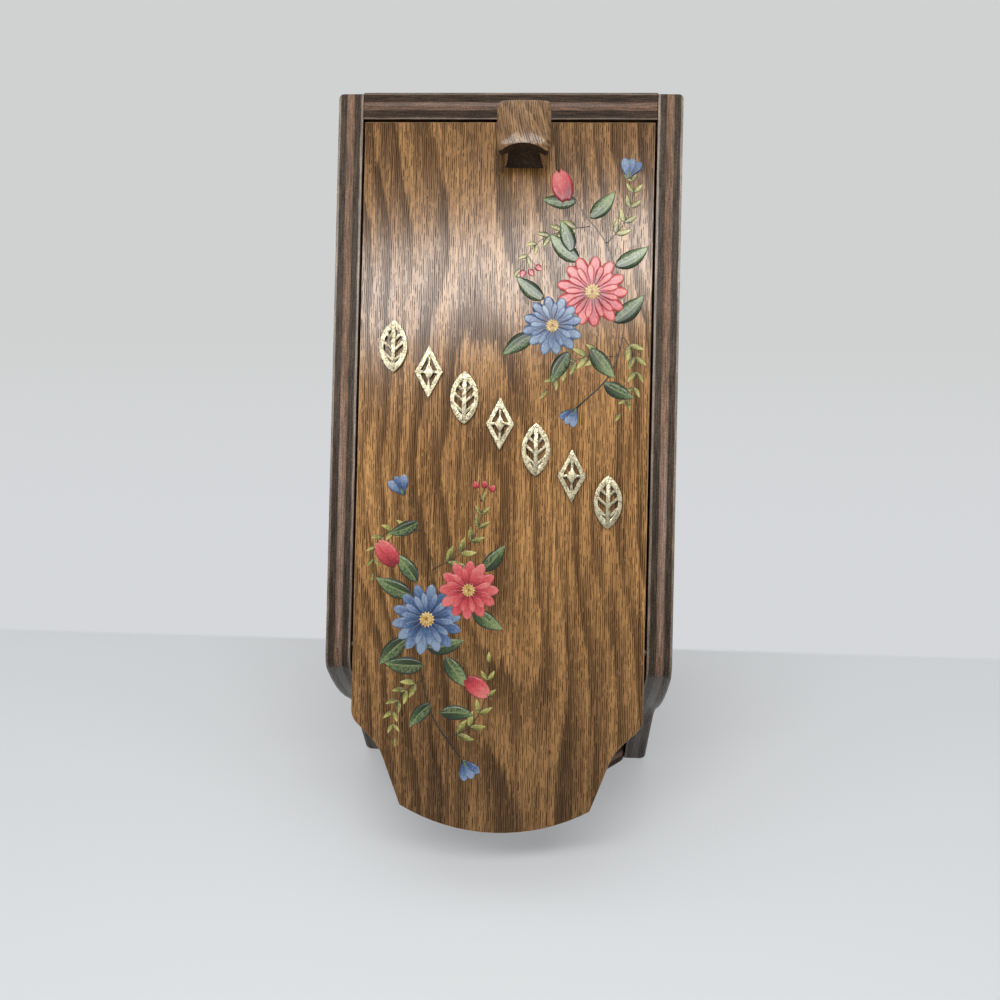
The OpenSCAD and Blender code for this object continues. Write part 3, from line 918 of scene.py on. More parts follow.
class Boards:
    """The boards of the case and the lid."""

    def __init__(self, finishes: Finishes) -> None:
        """Keeps the finishes."""
        self.finishes = finishes

    def level_axes(self, node: str) -> Matrix:
        """Axes of a level board, whose grain runs from side to side."""
        low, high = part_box(node)
        return board_axes((low + high) / 2, Vector((0, -1, 0)), Vector((1, 0, 0)))

    def side_axes(self, node: str) -> Matrix:
        """Axes of a side board, whose grain stands up, from the floor."""
        low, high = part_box(node)
        return board_axes(Vector(((low.x + high.x) / 2, 0, 0)), Vector((0, 1, 0)), Vector((0, 0, 1)))

    def back_axes(self) -> Matrix:
        """Axes of the back board, whose grain stands up."""
        low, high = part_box("back_board")
        return board_axes(Vector((0, (low.y + high.y) / 2, 0)), Vector((-1, 0, 0)), Vector((0, 0, 1)))

    def lid_axes(self, thickness: float) -> Matrix:
        """Axes of the lid, in the middle of its plies."""
        return FRONT.matrix @ Matrix.Translation((0, 0, -thickness / 2))

    def build(self, lid_board: float) -> None:
        """Dresses every board.

        Args:
            lid_board: Thickness of the lid.
        """
        made = self.finishes
        for node in ("side_left", "side_right"):
            EasedBoard(node, Body.CASE, Slot.CASE, self.side_axes(node), made.case_face,
                       made.side_edge).build()
        for node, slot, face in (("top_board", Slot.CASE, made.case_face),
                                 ("base_board", Slot.CASE, made.case_face),
                                 ("shelf_board", Slot.INSIDE, made.inside)):
            EasedBoard(node, Body.CASE, slot, self.level_axes(node), face, made.case_edge).build()
        EasedBoard("back_board", Body.CASE, Slot.INSIDE, self.back_axes(), made.inside, made.back_edge,
                   ease=0.3 * MM).build()
        EasedBoard("lid_stop", Body.CASE, Slot.INSIDE, self.level_axes("lid_stop"), made.inside,
                   made.inside, ease=0.4 * MM).build()
        EasedBoard("lid_panel", Body.LID, Slot.LID, self.lid_axes(lid_board), made.lid, made.lid_edge,
                   ease=0.5 * MM).build()


@dataclass(frozen=True)
class KnobLooks:
    """The square wooden knob as one smooth loft of rounded squares.

    Args:
        face: Finish of the head, whose grain runs aslant down the face.
        end_grain_and_shade: Finish of the downward faces: end grain that took more stain, and painted shade.
        place_u: Sideways place of its middle.
        place_v: Place of its middle down the slope.
        slant: Turn of the grain from straight down.

    The other fields are sizes of its neck, head, roundings, crown and finger hollow.
    """

    face: bpy.types.Material
    end_grain_and_shade: bpy.types.Material
    place_u: float = 7.5 * MM
    place_v: float = 23.8 * MM
    slant: float = math.radians(14)
    half_w: float = 12 * MM
    half_h: float = 11.7 * MM
    neck: float = 12 * MM
    head: float = 13 * MM
    taper: float = 4.5 * MM
    base_half: tuple[float, float] = (9.5 * MM, 11.2 * MM)
    top_half: tuple[float, float] = (7.5 * MM, 8.5 * MM)
    back_round: float = 1.4 * MM
    front_round: float = 3.0 * MM
    crown: float = 0.9 * MM
    corner: float = 2.6 * MM
    corner_fall: float = 1.6 * MM
    lean: float = 0.08
    grip_rise: float = 3.1 * MM
    grip_half: float = 10 * MM

    # Points of each corner and side, and steps of each stretch from the lid to the crown
    ARC_POINTS, SIDE_POINTS = 7, 15
    NECK_STEPS, FLARE_STEPS, BACK_STEPS, FRONT_STEPS, CROWN_STEPS = 6, 5, 5, 7, 9

    # Corner radius on the neck, how much the flare adds to it, and the power of the flare's curve
    NECK_CORNER, FLARE_CORNER, FLARE_POWER = 1.2 * MM, 0.8 * MM, 1.4

    # How fast the corners thin over the head's two roundings, and how much of the crown is reached
    BACK_THINNING, FRONT_THINNING, CROWNED = 0.4, 0.3, 0.98

    # Faces whose normal points down by more than this get the darker end grain finish:
    # real end grain, made darker still as painted shade on the undersides
    DOWN = -0.75
    SHARP = math.radians(40)

    def sections(self) -> list[tuple[float, float, float, float]]:
        """Gives each section, from the lid up, as its height, half width, half height and corner radius."""
        rows = []
        for i in range(self.NECK_STEPS + 1):
            share = i / self.NECK_STEPS
            hollow = math.sin(math.pi / 2 * share)
            wide, tall = (foot + (top - foot) * hollow for foot, top in zip(self.base_half, self.top_half))
            rows.append((self.neck * share, wide, tall, self.NECK_CORNER))
        rim = self.neck + self.taper
        head = (self.half_w - self.back_round, self.half_h - self.back_round)
        for i in range(1, self.FLARE_STEPS):
            share = i / self.FLARE_STEPS
            wide, tall = (neck + (rim_half - neck) * share for neck, rim_half in zip(self.top_half, head))
            rows.append((self.neck + self.taper * share ** self.FLARE_POWER, wide, tall,
                         self.NECK_CORNER + self.FLARE_CORNER * share))
        for i in range(self.BACK_STEPS + 1):
            turn = math.pi / 2 * i / self.BACK_STEPS
            inset = self.back_round * (1 - math.sin(turn))
            rise = self.back_round * (1 - math.cos(turn))
            rows.append((rim + rise, self.half_w - inset, self.half_h - inset,
                         self.corner - inset * self.BACK_THINNING))
        shoulder = self.neck + self.head - self.crown - self.front_round
        for i in range(self.FRONT_STEPS + 1):
            turn = math.pi / 2 * i / self.FRONT_STEPS
            inset = self.front_round * (1 - math.cos(turn))
            rise = self.front_round * math.sin(turn)
            rows.append((shoulder + rise, self.half_w - inset, self.half_h - inset,
                         self.corner - inset * self.FRONT_THINNING))
        flat_w, flat_h = self.half_w - self.front_round, self.half_h - self.front_round
        for i in range(1, self.CROWN_STEPS):
            share = 1 - i / self.CROWN_STEPS
            rise = self.crown * (1 - share * share) * self.CROWNED
            rows.append((shoulder + self.front_round + rise, flat_w * share, flat_h * share,
                         self.corner * (0.4 + 0.4 * share) * share))
        return rows

    def ring(self, half_w: float, half_h: float, radius: float) -> list[Vector]:
        """Gives the points of a rounded square: an arc at each corner, then a straight side.

        Args:
            half_w: Half its width.
            half_h: Half its height.
            radius: Radius of its corners.

        Returns:
            The points, in the plane of the section.
        """
        radius = min(radius, half_w * 0.9, half_h * 0.9)
        points = []
        corners = [Vector((sign_x * (half_w - radius), sign_y * (half_h - radius), 0))
                   for sign_x, sign_y in ((1, 1), (-1, 1), (-1, -1), (1, -1))]
        for quarter, middle in enumerate(corners):
            for i in range(self.ARC_POINTS):
                turn = math.pi / 2 * (quarter + i / (self.ARC_POINTS - 1))
                points.append(middle + radius * direction(turn))
            reach = radius * direction(math.pi / 2 * (quarter + 1))
            start, end = middle + reach, corners[(quarter + 1) % 4] + reach
            for i in range(1, self.SIDE_POINTS + 1):
                points.append(start.lerp(end, i / (self.SIDE_POINTS + 1)))
        return points

    def carved(self, point: Vector) -> Vector:
        """Leans the face back, lowers its corners and cuts the finger hollow under the head.

        Args:
            point: A point of a plain section.

        Returns:
            Where it comes to lie.
        """
        head_share = min(1.0, max(0.0, (point.z - self.neck) / self.taper))
        corner = (point.x / self.half_w) ** 2 * (point.y / self.half_h) ** 2
        hollow = max(0.0, 1 - (point.x / self.grip_half) ** 2) * self.grip_rise * head_share
        low = hollow - self.half_h
        back = self.neck + self.taper
        front_share = min(1.0, max(0.0, (point.z - back) / (self.head - self.taper - self.crown)))
        fall = corner * self.corner_fall * head_share + (point.y + self.half_h) * self.lean * front_share
        return Vector((point.x, max(point.y, low), point.z - fall))

    def build(self) -> bpy.types.Object:
        """Makes the piece, which stands for the knob's node."""
        solid = bmesh.new()
        rings = []
        turn = Matrix.Rotation(self.slant, 3, "Z")
        for height, half_w, half_h, radius in self.sections():
            rings.append([solid.verts.new(turn.inverted() @ self.carved(point + Vector((0, 0, height))))
                          for point in self.ring(half_w, half_h, radius)])
        count = len(rings[0])
        for lower, upper in zip(rings, rings[1:]):
            for i in range(count):
                solid.faces.new((lower[i], lower[(i + 1) % count], upper[(i + 1) % count], upper[i]))
        solid.faces.new(list(reversed(rings[0])))
        solid.faces.new(rings[-1])
        bmesh.ops.recalc_face_normals(solid, faces=solid.faces)
        mesh = bpy.data.meshes.new("knob_loft")
        solid.to_mesh(mesh)
        solid.free()
        mesh.materials.append(self.face)
        mesh.materials.append(self.end_grain_and_shade)
        # Faces that point down get the end grain finish with its painted shade
        for polygon in mesh.polygons:
            polygon.material_index = int((turn @ polygon.normal).y < self.DOWN)
            polygon.use_smooth = True
        mesh.set_sharp_from_angle(angle=self.SHARP)
        axes = FRONT.matrix @ Matrix.Translation((self.place_u, -self.place_v, 0)) @ turn.to_4x4()
        piece = new_object("knob_turned", mesh, axes)
        mount(piece, Body.LID)
        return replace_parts(piece, "knob")


@dataclass(frozen=True)
class OrnamentLooks:
    """A brass casting copied from its node, with rounded bars and an uneven cast skin."""

    node: str
    material: bpy.types.Material

    EASE = 0.55 * MM
    FLAT = math.radians(1)
    SHARP = math.radians(50)

    # Edges lower than this lie on the lid, and flatter ones are inside a face
    RAISED = 0.5 * MM
    RIM = math.radians(35)

    def build(self) -> bpy.types.Object:
        """Makes the piece, which stands for its node."""
        mesh = eased_copy(self.node, FRONT.matrix, self.EASE, self.FLAT, self.is_rim)
        mesh.materials.append(self.material)
        for polygon in mesh.polygons:
            polygon.use_smooth = True
            polygon.material_index = 0
        mesh.set_sharp_from_angle(angle=self.SHARP)
        piece = new_object(self.node + "_cast", mesh, FRONT.matrix)
        mount(piece, Body.LID)
        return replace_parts(piece, self.node)

    def is_rim(self, edge: bmesh.types.BMEdge) -> bool:
        """Tells the upper rims of the bars from their feet on the lid."""
        raised = min(vertex.co.z for vertex in edge.verts) > self.RAISED
        return edge.is_manifold and edge.is_convex and raised and edge.calc_face_angle() > self.RIM


class BladeMesh:
    """Thin closed blades of paint in one mesh: petals, leaves and stems in lid axes."""

    UV_NAME = "blade"
    TONE_NAME = "blade_tone"
    ACROSS = 4
    SUNK = 0.05 * MM
    NARROWEST = 0.04 * MM

    # Height of the spine, and how much lower the rims are, as shares of a blade's and a stem's lift
    DOME, STEM_DOME = (1.0, 0.1), (1.2, 0.4)

    def __init__(self, name: str, material: bpy.types.Material, seed: int) -> None:
        """Starts an empty mesh.

        Args:
            name: Name of the piece.
            material: Its paint.
            seed: Seed of the blades' own tones.
        """
        self.name = name
        self.material = material
        self.random = random.Random(seed)
        self.solid = bmesh.new()
        self.uv = self.solid.loops.layers.uv.new(self.UV_NAME)
        self.tone = self.solid.verts.layers.float.new(self.TONE_NAME)

    def half_width(self, shape: Shape, share: float) -> float:
        """Half width of a blade, where 1 is the widest.

        Args:
            shape: How its width runs.
            share: Place along the spine, from 0 to 1.

        Returns:
            The half width there.
        """
        if shape is Shape.LEAF:
            return math.sin(math.pi * share ** 0.8) ** 0.9
        if shape is Shape.PETAL:
            return math.sin(math.pi * min(1.0, 0.06 + 0.94 * share) ** 1.9) ** 0.62
        if shape is Shape.BUD:
            return math.sin(math.pi * (0.12 + 0.88 * share) ** 0.9) ** 0.8
        return 1 - 0.55 * share

    def blade(self, shape: Shape, start: Vector, angle: float, length: float, width: float,
              bend: float, lift: float, steps: int) -> None:
        """Adds one blade.

        Args:
            shape: How its width runs.
            start: Its foot, in lid axes.
            angle: Direction at the foot, from the lid's right, in radians.
            length: Length along its spine.
            width: Greatest width.
            bend: How far the direction turns from foot to tip, in radians.
            lift: Height of its ridge over the lid.
            steps: Stations along the spine.
        """
        own = self.random.random()
        point = start.copy()
        sections = []
        for i in range(steps + 1):
            share = i / steps
            along = direction(angle + bend * share)
            if i:
                point = point + along * (length / steps)
            side = Vector((-along.y, along.x, 0))
            half = max(width / 2 * max(0.0, self.half_width(shape, share)), self.NARROWEST)
            sections.append(self.section(point, side * half, lift, self.DOME, own))
        self.skin(sections)

    def section(self, point: Vector, reach: Vector, lift: float, dome: tuple[float, float],
                own: float) -> tuple[list, list]:
        """Adds the vertices of one cross section.

        Args:
            point: Its middle, in lid axes.
            reach: From its middle to its left rim.
            lift: Height over the lid.
            dome: Height of the spine and fall of the rims, as shares of that.
            own: The blade's own tone.

        Returns:
            The upper and the lower vertices, from the right rim to the left.
        """
        top, bottom = [], []
        for j in range(self.ACROSS + 1):
            cross = 2 * j / self.ACROSS - 1
            flat = point + reach * cross
            for row, height in ((top, lift * (dome[0] - dome[1] * cross * cross)), (bottom, -self.SUNK)):
                vertex = self.solid.verts.new((flat.x, flat.y, height))
                vertex[self.tone] = own
                row.append(vertex)
        return top, bottom

    def skin(self, sections: list[tuple[list, list]]) -> None:
        """Closes a blade: top, underside, two long walls and two ends.

        Args:
            sections: Its cross sections from foot to tip.
        """
        tops, bottoms = zip(*sections)
        last, wide = len(tops) - 1, self.ACROSS
        for i in range(last):
            for j in range(wide):
                spots = ((i, j), (i, j + 1), (i + 1, j + 1), (i + 1, j))
                self.face([tops[a][b] for a, b in spots][::-1], [spots[k] for k in (3, 2, 1, 0)], last, True)
                self.face([bottoms[a][b] for a, b in spots], spots, last)
            for j, order in ((0, 1), (wide, -1)):
                ring = [tops[i][j], tops[i + 1][j], bottoms[i + 1][j], bottoms[i][j]][::order]
                self.face(ring, [(i, j)] * 4, last)
        for i, order in ((0, -1), (last, 1)):
            for j in range(wide):
                ring = [tops[i][j], tops[i][j + 1], bottoms[i][j + 1], bottoms[i][j]][::order]
                self.face(ring, [(i, j)] * 4, last)

    def face(self, vertices: list, spots: Sequence[tuple[int, int]], last: int, smooth: bool = False) -> None:
        """Adds a face with its place along and across the blade.

        Args:
            vertices: Its corners.
            spots: Section and place across of each corner.
            last: Number of the blade's last section.
            smooth: Whether it's shaded smooth.
        """
        face = self.solid.faces.new(vertices)
        face.smooth = smooth
        for loop, (i, j) in zip(face.loops, spots):
            loop[self.uv].uv = (i / last, j / self.ACROSS)

    def stem(self, points: Sequence[tuple[float, float]], width: float,
             lift: float = 0.07 * MM) -> list[Vector]:
        """Adds a thin stem through (u, v) points on a smooth curve.

        Args:
            points: Places on the lid's face, in millimetres.
            width: Width at the foot; it thins to a third at the end.
            lift: Height over the lid.

        Returns:
            The points of its spine, in lid axes.
        """
        spine = smooth_curve([on_lid(u, v) for u, v in points], 8)
        sections = []
        for i, point in enumerate(spine):
            ahead = spine[min(i + 1, len(spine) - 1)] - spine[max(i - 1, 0)]
            side = Vector((-ahead.y, ahead.x, 0)).normalized()
            half = width / 2 * (1 - 0.66 * i / (len(spine) - 1))
            sections.append(self.section(point, side * half, lift, self.STEM_DOME, 0.5))
        self.skin(sections)
        return spine

    def build(self) -> bpy.types.Object:
        """Makes the piece."""
        bmesh.ops.recalc_face_normals(self.solid, faces=self.solid.faces)
        mesh = bpy.data.meshes.new(self.name)
        self.solid.to_mesh(mesh)
        self.solid.free()
        mesh.materials.append(self.material)
        return mount(new_object(self.name, mesh, FRONT.matrix), Body.LID)


def on_lid(u: float, v: float) -> Vector:
    """Gives a place on the lid's face in lid axes, from millimetres to the right and down."""
    return Vector((u * MM, -v * MM, 0))


def smooth_curve(knots: list[Vector], steps: int) -> list[Vector]:
    """Runs a smooth curve through knots.

    Args:
        knots: The points to pass through.
        steps: Points on each stretch.

    Returns:
        The points of the curve, the ends included.
    """
    padded = [2 * knots[0] - knots[1], *knots, 2 * knots[-1] - knots[-2]]
    curve = []
    for a, b, c, d in zip(padded, padded[1:], padded[2:], padded[3:]):
        for i in range(steps):
            t = i / steps
            curve.append(0.5 * (2 * b + (c - a) * t + (2 * a - 5 * b + 4 * c - d) * t ** 2
                                + (3 * b - a - 3 * c + d) * t ** 3))
    curve.append(knots[-1].copy())
    return curve


@dataclass(frozen=True)
class SprayPlan:
    """What a spray holds, by places in millimetres right of the lid's middle and down from its top.

    Args:
        name: Start of its pieces' names.
        seed: Seed of its random draws.
        stem: Points of the main stem.
        ferns: Points of each sprig's stem, and the length of its leaves.
        leaves: Place, length, direction in degrees and bend of each leaf.
        daisies: Colour, place, radius, number of petals and turn of each daisy.
        tulips: Place, size and direction in degrees of each coral tulip.
        bells: Place, size and direction in degrees of each blue bell.
        berries: Place and direction in degrees of the berries.
    """

    name: str
    seed: int
    stem: tuple
    ferns: tuple
    leaves: tuple
    daisies: tuple
    tulips: tuple
    bells: tuple
    berries: tuple[float, float, float]


# An arched garland between two daisies, and a rising stem with a daisy between two tulips
SPRAYS = (
    SprayPlan(
        "upper_spray", 11,
        stem=((34, 146), (50, 128), (55, 100), (47, 72), (34, 54), (28, 42)),
        ferns=((((50, 122), (38, 122), (28, 128), (20, 138)), 9),
               (((46, 70), (54, 60), (58, 46), (56, 36)), 8),
               (((38, 62), (26, 64), (14, 70), (6, 82)), 8),
               (((54, 112), (60, 122), (60, 136), (54, 148)), 8)),
        leaves=((50, 106, 19, 30, 0.4), (34, 78, 19, 150, -0.4), (50, 80, 18, 15, 0.5), (38, 58, 17, 35, 0.4),
                (32, 50, 16, 190, -0.4), (46, 134, 16, -35, 0.3), (14, 112, 18, 205, 0.3),
                (18, 96, 17, 150, -0.3), (40, 118, 18, -60, 0.3), (30, 120, 17, 235, 0.2),
                (30, 74, 16, 100, 0.3)),
        daisies=((Paint.CORAL, 40, 92, 17, 13, 0.0), (Paint.BLUE, 22, 108, 14, 12, 0.2)),
        tulips=((27, 50, 15, 105),),
        bells=((55, 40, 10, 75), (34, 146, 9, -125)),
        berries=(9, 76, -70)),
    SprayPlan(
        "lower_spray", 29,
        stem=((-16, 308), (-30, 288), (-36, 258), (-30, 228), (-36, 202), (-44, 186)),
        ferns=((((-24, 300), (-12, 294), (-5, 280), (-4, 264)), 9),
               (((-33, 272), (-42, 278), (-48, 288), (-47, 300)), 8),
               (((-31, 222), (-18, 214), (-10, 202), (-8, 190)), 9),
               (((-36, 204), (-50, 204), (-58, 212), (-59, 224)), 7)),
        leaves=((-34, 266, 19, 190, -0.4), (-33, 258, 18, 0, 0.4), (-40, 234, 19, 165, -0.3),
                (-24, 230, 17, 35, 0.4), (-38, 200, 15, 215, -0.4), (-26, 288, 16, 10, -0.4),
                (-30, 284, 15, 215, 0.4), (-12, 240, 17, -40, 0.3), (-42, 254, 18, 215, 0.3),
                (-24, 262, 18, -60, 0.3), (-38, 228, 17, 120, 0.3), (-8, 222, 16, 40, 0.3)),
        daisies=((Paint.BLUE, -33, 245, 16.5, 14, 0.1), (Paint.CORAL, -14, 231, 14, 12, 0.0)),
        tulips=((-48, 220, 14, 130), (-14, 272, 13, -35)),
        bells=((-45, 188, 10, 115), (-15, 309, 10, -60)),
        berries=(-9, 190, 80)),
)


class Spray:
    """A painted spray of flowers on the lid, one mesh for each colour."""

    STEM_WIDTH = 0.8 * MM
    STALK, STALK_WIDTH, STALK_LIFT = 6.5 * MM, 0.35 * MM, 0.06 * MM

    # Each row of a daisy's petals: share of the radius, shift in petals and relative width
    PETAL_ROWS = ((1.0, 0.0, 1.5), (0.72, 0.5, 1.25))

    # Width of the petals as a share of their room, their length and foot as shares of the radius
    PETAL_WIDTH, PETAL_LENGTH, PETAL_FOOT = 0.62 / 1.3, 0.9, 0.12

    # Each ring of a daisy's eye: share of its radius and number of blades
    EYE_RINGS = ((1.0, 14), (0.55, 9))

    # Spread of a tulip's petals with their share of its size, and of a bell's lobes, in radians
    TULIP_PETALS = ((-0.42, 0.95), (0.42, 0.95), (-0.2, 1.0), (0.2, 1.0), (0.0, 0.9))
    BELL_LOBES = (-0.30, 0.30, 0.0)

    def __init__(self, plan: SprayPlan, paints: dict[Paint, bpy.types.Material]) -> None:
        """Starts a mesh for each paint.

        Args:
            plan: What the spray holds.
            paints: The materials.
        """
        self.plan = plan
        self.paint = {paint: BladeMesh(f"{plan.name}_{paint.value}", material, plan.seed + i)
                      for i, (paint, material) in enumerate(paints.items())}
        self.random = random.Random(plan.seed)
        self.layer = 0

    def stroke(self, paint: Paint, shape: Shape, foot: Vector, angle: float, length: float, width: float,
               bend: float = 0.0, steps: int = 12) -> None:
        """Paints one blade a little higher than the ones before it.

        Args:
            paint: Its colour.
            shape: Its outline.
            foot: Its foot, in lid axes.
            angle: Direction at the foot, in radians.
            length: Length in millimetres.
            width: Greatest width in millimetres.
            bend: Turn from foot to tip, in radians.
            steps: Stations along the spine.
        """
        self.layer += 1
        lift = (0.06 + 0.0012 * self.layer) * MM
        self.paint[paint].blade(shape, foot, angle, length * MM, width * MM, bend, lift, steps)

    def daisy(self, paint: Paint, u: float, v: float, radius: float, petals: int, turn: float) -> None:
        """Paints a daisy seen from the front: rows of narrow petals round a gold eye.

        Args:
            paint: Colour of the petals.
            u: Place to the right.
            v: Place down the lid.
            radius: Radius over the petals.
            petals: Number in a row.
            turn: Direction of the first petal, in radians.
        """
        for share, shift, wide in self.PETAL_ROWS:
            for i in range(petals):
                angle = turn + 2 * math.pi * (i + shift) / petals + self.random.uniform(-0.05, 0.05)
                length = radius * share * self.random.uniform(0.92, 1.0)
                width = 2 * math.pi * radius * share / petals * wide * self.PETAL_WIDTH
                foot = on_lid(u, v) + direction(angle) * (self.PETAL_FOOT * radius * MM)
                self.stroke(paint, Shape.PETAL, foot, angle, length * self.PETAL_LENGTH, width)
        eye = radius * 0.2
        for ring, count in self.EYE_RINGS:
            for i in range(count):
                self.stroke(Paint.GOLD, Shape.BUD, on_lid(u, v), 2 * math.pi * (i + ring) / count,
                            eye * ring * 1.15, eye * 0.55, steps=4)

    def tulip(self, u: float, v: float, size: float, angle: float) -> None:
        """Paints a coral tulip from the side: outer petals first, the middle one on top.

        Args:
            u: Place of its foot to the right.
            v: Place of its foot down the lid.
            size: Length of its petals.
            angle: Direction, in radians.
        """
        for spread, share in self.TULIP_PETALS:
            self.stroke(Paint.CORAL, Shape.BUD, on_lid(u, v), angle + spread, size * share, size * 0.42,
                        -spread * 1.1)

    def bell(self, u: float, v: float, size: float, angle: float) -> None:
        """Paints a small blue bell: a narrow cup whose three lobes flare.

        Args:
            u: Place of its foot to the right.
            v: Place of its foot down the lid.
            size: Length of its lobes.
            angle: Direction, in radians.
        """
        for spread in self.BELL_LOBES:
            self.stroke(Paint.BLUE, Shape.PETAL, on_lid(u, v), angle + spread, size, size * 0.46,
                        spread * 0.8)
        self.stroke(Paint.LEAF, Shape.LEAF, on_lid(u, v), angle, size * 0.42, size * 0.3, steps=6)

    def berries(self, u: float, v: float, angle: float) -> None:
        """Paints a fan of three round coral berries on short stalks.

        Args:
            u: Place of its foot to the right.
            v: Place of its foot down the lid.
            angle: Direction of the middle stalk, in radians.
        """
        foot = on_lid(u, v)
        for turn in (-0.5, 0.0, 0.5):
            way = angle + turn
            self.paint[Paint.STEM].blade(Shape.STEM, foot, way, self.STALK, self.STALK_WIDTH, 0.0,
                                         self.STALK_LIFT, 4)
            self.stroke(Paint.CORAL, Shape.BUD, foot + direction(way) * self.STALK, way, 3.4, 3.1, steps=8)

    def fern(self, points: Sequence[tuple[float, float]], leaf_length: float) -> None:
        """Paints a sprig: a stem with pairs of small leaves that shrink to its end.

        Args:
            points: Places that the stem runs through.
            leaf_length: Length of the lowest leaves.
        """
        spine = self.paint[Paint.STEM].stem(points, 0.5 * MM)
        for i in range(4, len(spine) - 1, 4):
            ahead = spine[i + 1] - spine[i - 1]
            size = leaf_length * (1 - 0.5 * i / len(spine))
            for side in (-1, 1):
                turn = math.atan2(ahead.y, ahead.x) + side * self.random.uniform(0.75, 0.95)
                self.stroke(Paint.SPRIG, Shape.LEAF, spine[i], turn, size, size * 0.40, -side * 0.35, 8)
        tip = spine[-1] - spine[-3]
        self.stroke(Paint.SPRIG, Shape.LEAF, spine[-1], math.atan2(tip.y, tip.x), leaf_length * 0.55,
                    leaf_length * 0.22, steps=8)

    def build(self) -> None:
        """Paints the plan, from the stems up to the berries, and makes the meshes."""
        plan = self.plan
        self.paint[Paint.STEM].stem(plan.stem, self.STEM_WIDTH)
        for points, leaf_length in plan.ferns:
            self.fern(points, leaf_length)
        for u, v, length, degrees, bend in plan.leaves:
            self.stroke(Paint.LEAF, Shape.LEAF, on_lid(u, v), math.radians(degrees), length,
                        length * 0.44, bend)
        for daisy in plan.daisies:
            self.daisy(*daisy)
        for paint_flower, flowers in ((self.tulip, plan.tulips), (self.bell, plan.bells),
                                      (self.berries, (plan.berries,))):
            for *place, degrees in flowers:
                paint_flower(*place, math.radians(degrees))
        for blades in self.paint.values():
            blades.build()


class Hardware:
    """Pins, brads and the screw, which keep their nodes' meshes."""

    STEEL_NODES = ("pivot_pin_left", "pivot_pin_right", "brads_top", "brads_shelf", "brads_base",
                   "brads_back", "knob_screw")

    def build(self, finishes: Finishes) -> None:
        """Gives the steel to each node."""
        for node in self.STEEL_NODES:
            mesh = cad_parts[node].data
            mesh.materials.clear()
            mesh.materials.append(finishes.steel)
            LOG.info("%s keeps its mesh: %d faces", node, len(mesh.polygons))


@dataclass(frozen=True)
class AreaLamp:
    """A soft box, aimed at a point."""

    name: str
    place: Vector
    target: Vector
    width: float
    height: float
    watts: float
    roll: float = 0.0

    def build(self) -> None:
        """Adds the lamp."""
        data = bpy.data.lights.new(self.name, "AREA")
        data.shape = "RECTANGLE"
        data.size = self.width
        data.size_y = self.height
        data.energy = self.watts
        lamp = bpy.data.objects.new(self.name, data)
        bpy.context.scene.collection.objects.link(lamp)
        lamp.location = self.place
        lamp.rotation_mode = "QUATERNION"
        aim = (self.target - self.place).to_track_quat("-Z", "Y")
        lamp.rotation_quaternion = aim @ Quaternion((0, 0, 1), self.roll)


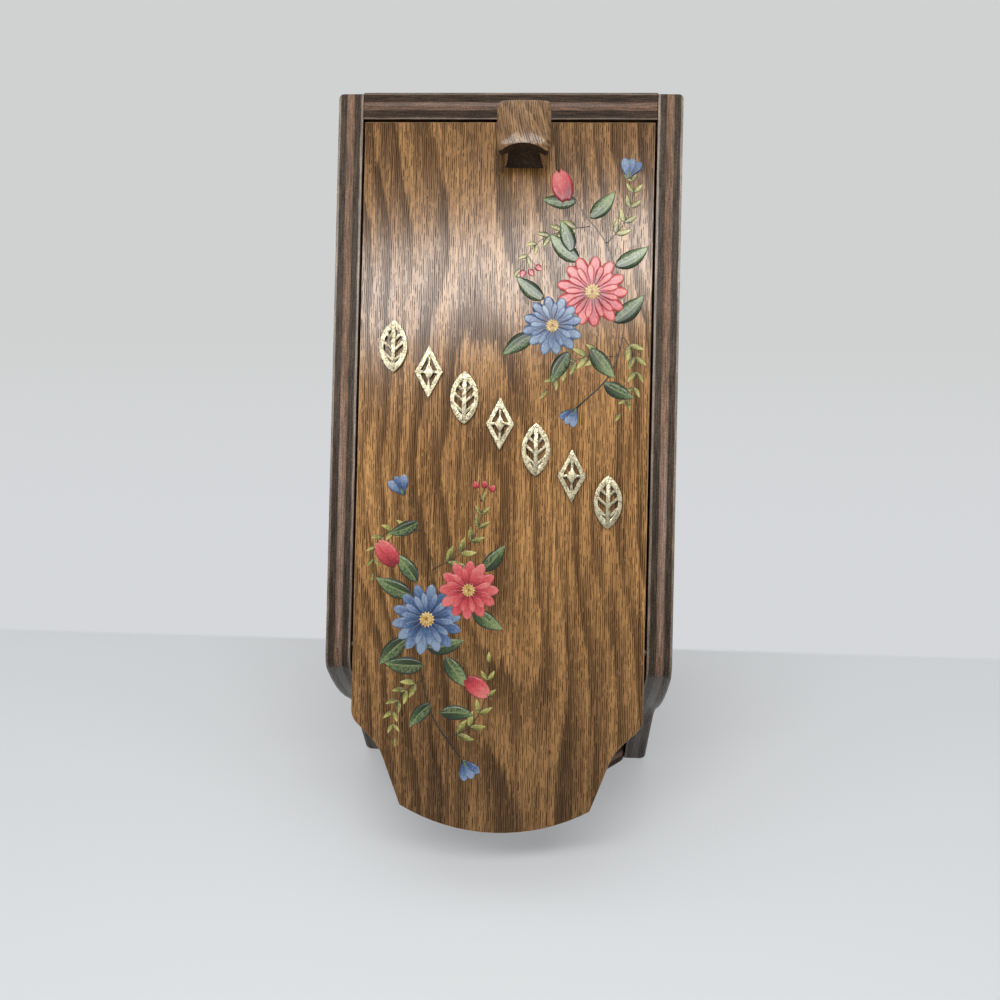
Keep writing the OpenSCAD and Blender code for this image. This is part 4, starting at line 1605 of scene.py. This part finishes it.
class Studio:
    """Floor, lamps, world and camera."""

    CAMERA_PLACE = Vector((22.05 * MM, -441 * MM, 350.3 * MM))
    CAMERA_YAW = math.radians(-3.2)
    CAMERA_PITCH = math.radians(23.3)
    FOCAL_PIXELS = 947
    IMAGE_PIXELS = 1000
    SENSOR = 36.0
    SHEEN_V = 86 * MM
    SHEEN_REACH = 0.7
    FILL = 0.32
    FILL_COLOUR = (0.97, 0.99, 1.0, 1.0)
    FLOOR_REACH = 12.0

    def camera(self) -> None:
        """Stands the camera where the photograph was taken from."""
        data = bpy.data.cameras.new("camera")
        data.sensor_width = self.SENSOR
        data.lens = self.SENSOR * self.FOCAL_PIXELS / self.IMAGE_PIXELS
        camera = bpy.data.objects.new("camera", data)
        bpy.context.scene.collection.objects.link(camera)
        ahead = Vector((math.sin(self.CAMERA_YAW) * math.cos(self.CAMERA_PITCH),
                        math.cos(self.CAMERA_YAW) * math.cos(self.CAMERA_PITCH),
                        -math.sin(self.CAMERA_PITCH)))
        camera.location = self.CAMERA_PLACE
        camera.rotation_mode = "QUATERNION"
        camera.rotation_quaternion = ahead.to_track_quat("-Z", "Y")
        bpy.context.scene.camera = camera

    def floor(self) -> None:
        """Lays the plain floor."""
        reach = self.FLOOR_REACH
        mesh = bpy.data.meshes.new("floor")
        mesh.from_pydata([(-reach, -reach, 0), (reach, -reach, 0), (reach, reach, 0), (-reach, reach, 0)],
                         [], [(0, 1, 2, 3)])
        mesh.materials.append(FloorFinish().build())
        new_object("floor", mesh, Matrix.Identity(4))

    def world(self) -> None:
        """Fills the room with even light, and shows a pale wall to the camera and in gloss."""
        world = bpy.data.worlds.new("room")
        bpy.context.scene.world = world
        graph = NodeGraph("room", world)
        fill = graph.add("ShaderNodeBackground", {"Color": self.FILL_COLOUR, "Strength": self.FILL})
        wall = graph.add("ShaderNodeBackground", {"Color": FloorFinish.distant})
        mix = graph.add("ShaderNodeMixShader", (graph.seen(), fill.outputs[0], wall.outputs[0]))
        graph.add("ShaderNodeOutputWorld", {"Surface": mix.outputs[0]})

    def lamps(self) -> None:
        """Hangs the soft boxes: one that the varnish mirrors below the knob, one overhead, two beside."""
        shine = FRONT.place(0, self.SHEEN_V)
        out = (FRONT.place(0, self.SHEEN_V, 1.0) - shine).normalized()
        seen = (self.CAMERA_PLACE - shine).normalized()
        mirrored = 2 * seen.dot(out) * out - seen
        middle = Vector((0, 0, 0.15))
        for lamp in (
            AreaLamp("sheen_box", shine + mirrored * self.SHEEN_REACH, shine, 0.8, 0.11, 4.2,
                     math.radians(12)),
            AreaLamp("overhead_box", Vector((-0.15, -0.10, 1.5)), Vector((0, 0, 0.1)), 1.2, 1.0, 4),
            AreaLamp("side_box_left", Vector((-1.1, -0.8, 0.8)), middle, 0.6, 0.6, 1),
            AreaLamp("side_box_right", Vector((1.1, -0.8, 0.8)), middle, 0.6, 0.6, 3),
        ):
            lamp.build()

    def build(self) -> None:
        """Sets the scene and its view."""
        self.camera()
        self.floor()
        self.world()
        self.lamps()
        bpy.context.scene.view_settings.view_transform = "Standard"


def thickness(node: str, direction: Vector) -> float:
    """Measures a node along a direction.

    Args:
        node: Name of the node.
        direction: Unit vector in the row frame.

    Returns:
        How far the node reaches along it, in metres.
    """
    reaches = [vertex.co.dot(direction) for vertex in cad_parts[node].data.vertices]
    return max(reaches) - min(reaches)


def main() -> None:
    """Dresses the frame and sets the studio."""
    logging.basicConfig(level=logging.INFO, format="%(name)s %(message)s")
    out = Vector((0, -math.cos(LEAN), math.sin(LEAN)))
    lid_board = thickness("lid_panel", out)
    case_board = thickness("side_left", Vector((1, 0, 0)))
    back_board = thickness("back_board", Vector((0, 1, 0)))
    straight_end = FRONT.place(0, STRAIGHT_EDGE).z
    lid_end = (FRONT.origin.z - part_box("lid_panel")[0].z) / math.cos(LEAN)
    finishes = Finishes(case_board, lid_board, back_board, straight_end, lid_end)
    Boards(finishes).build(lid_board)
    KnobLooks(finishes.knob, finishes.knob_end_and_shade).build()
    for node in sorted(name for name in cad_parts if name.startswith("brass_ornament")):
        OrnamentLooks(node, finishes.brass).build()
    for plan in SPRAYS:
        Spray(plan, finishes.paints).build()
    Hardware().build(finishes)
    Studio().build()


if __name__ == "__main__":
    main()
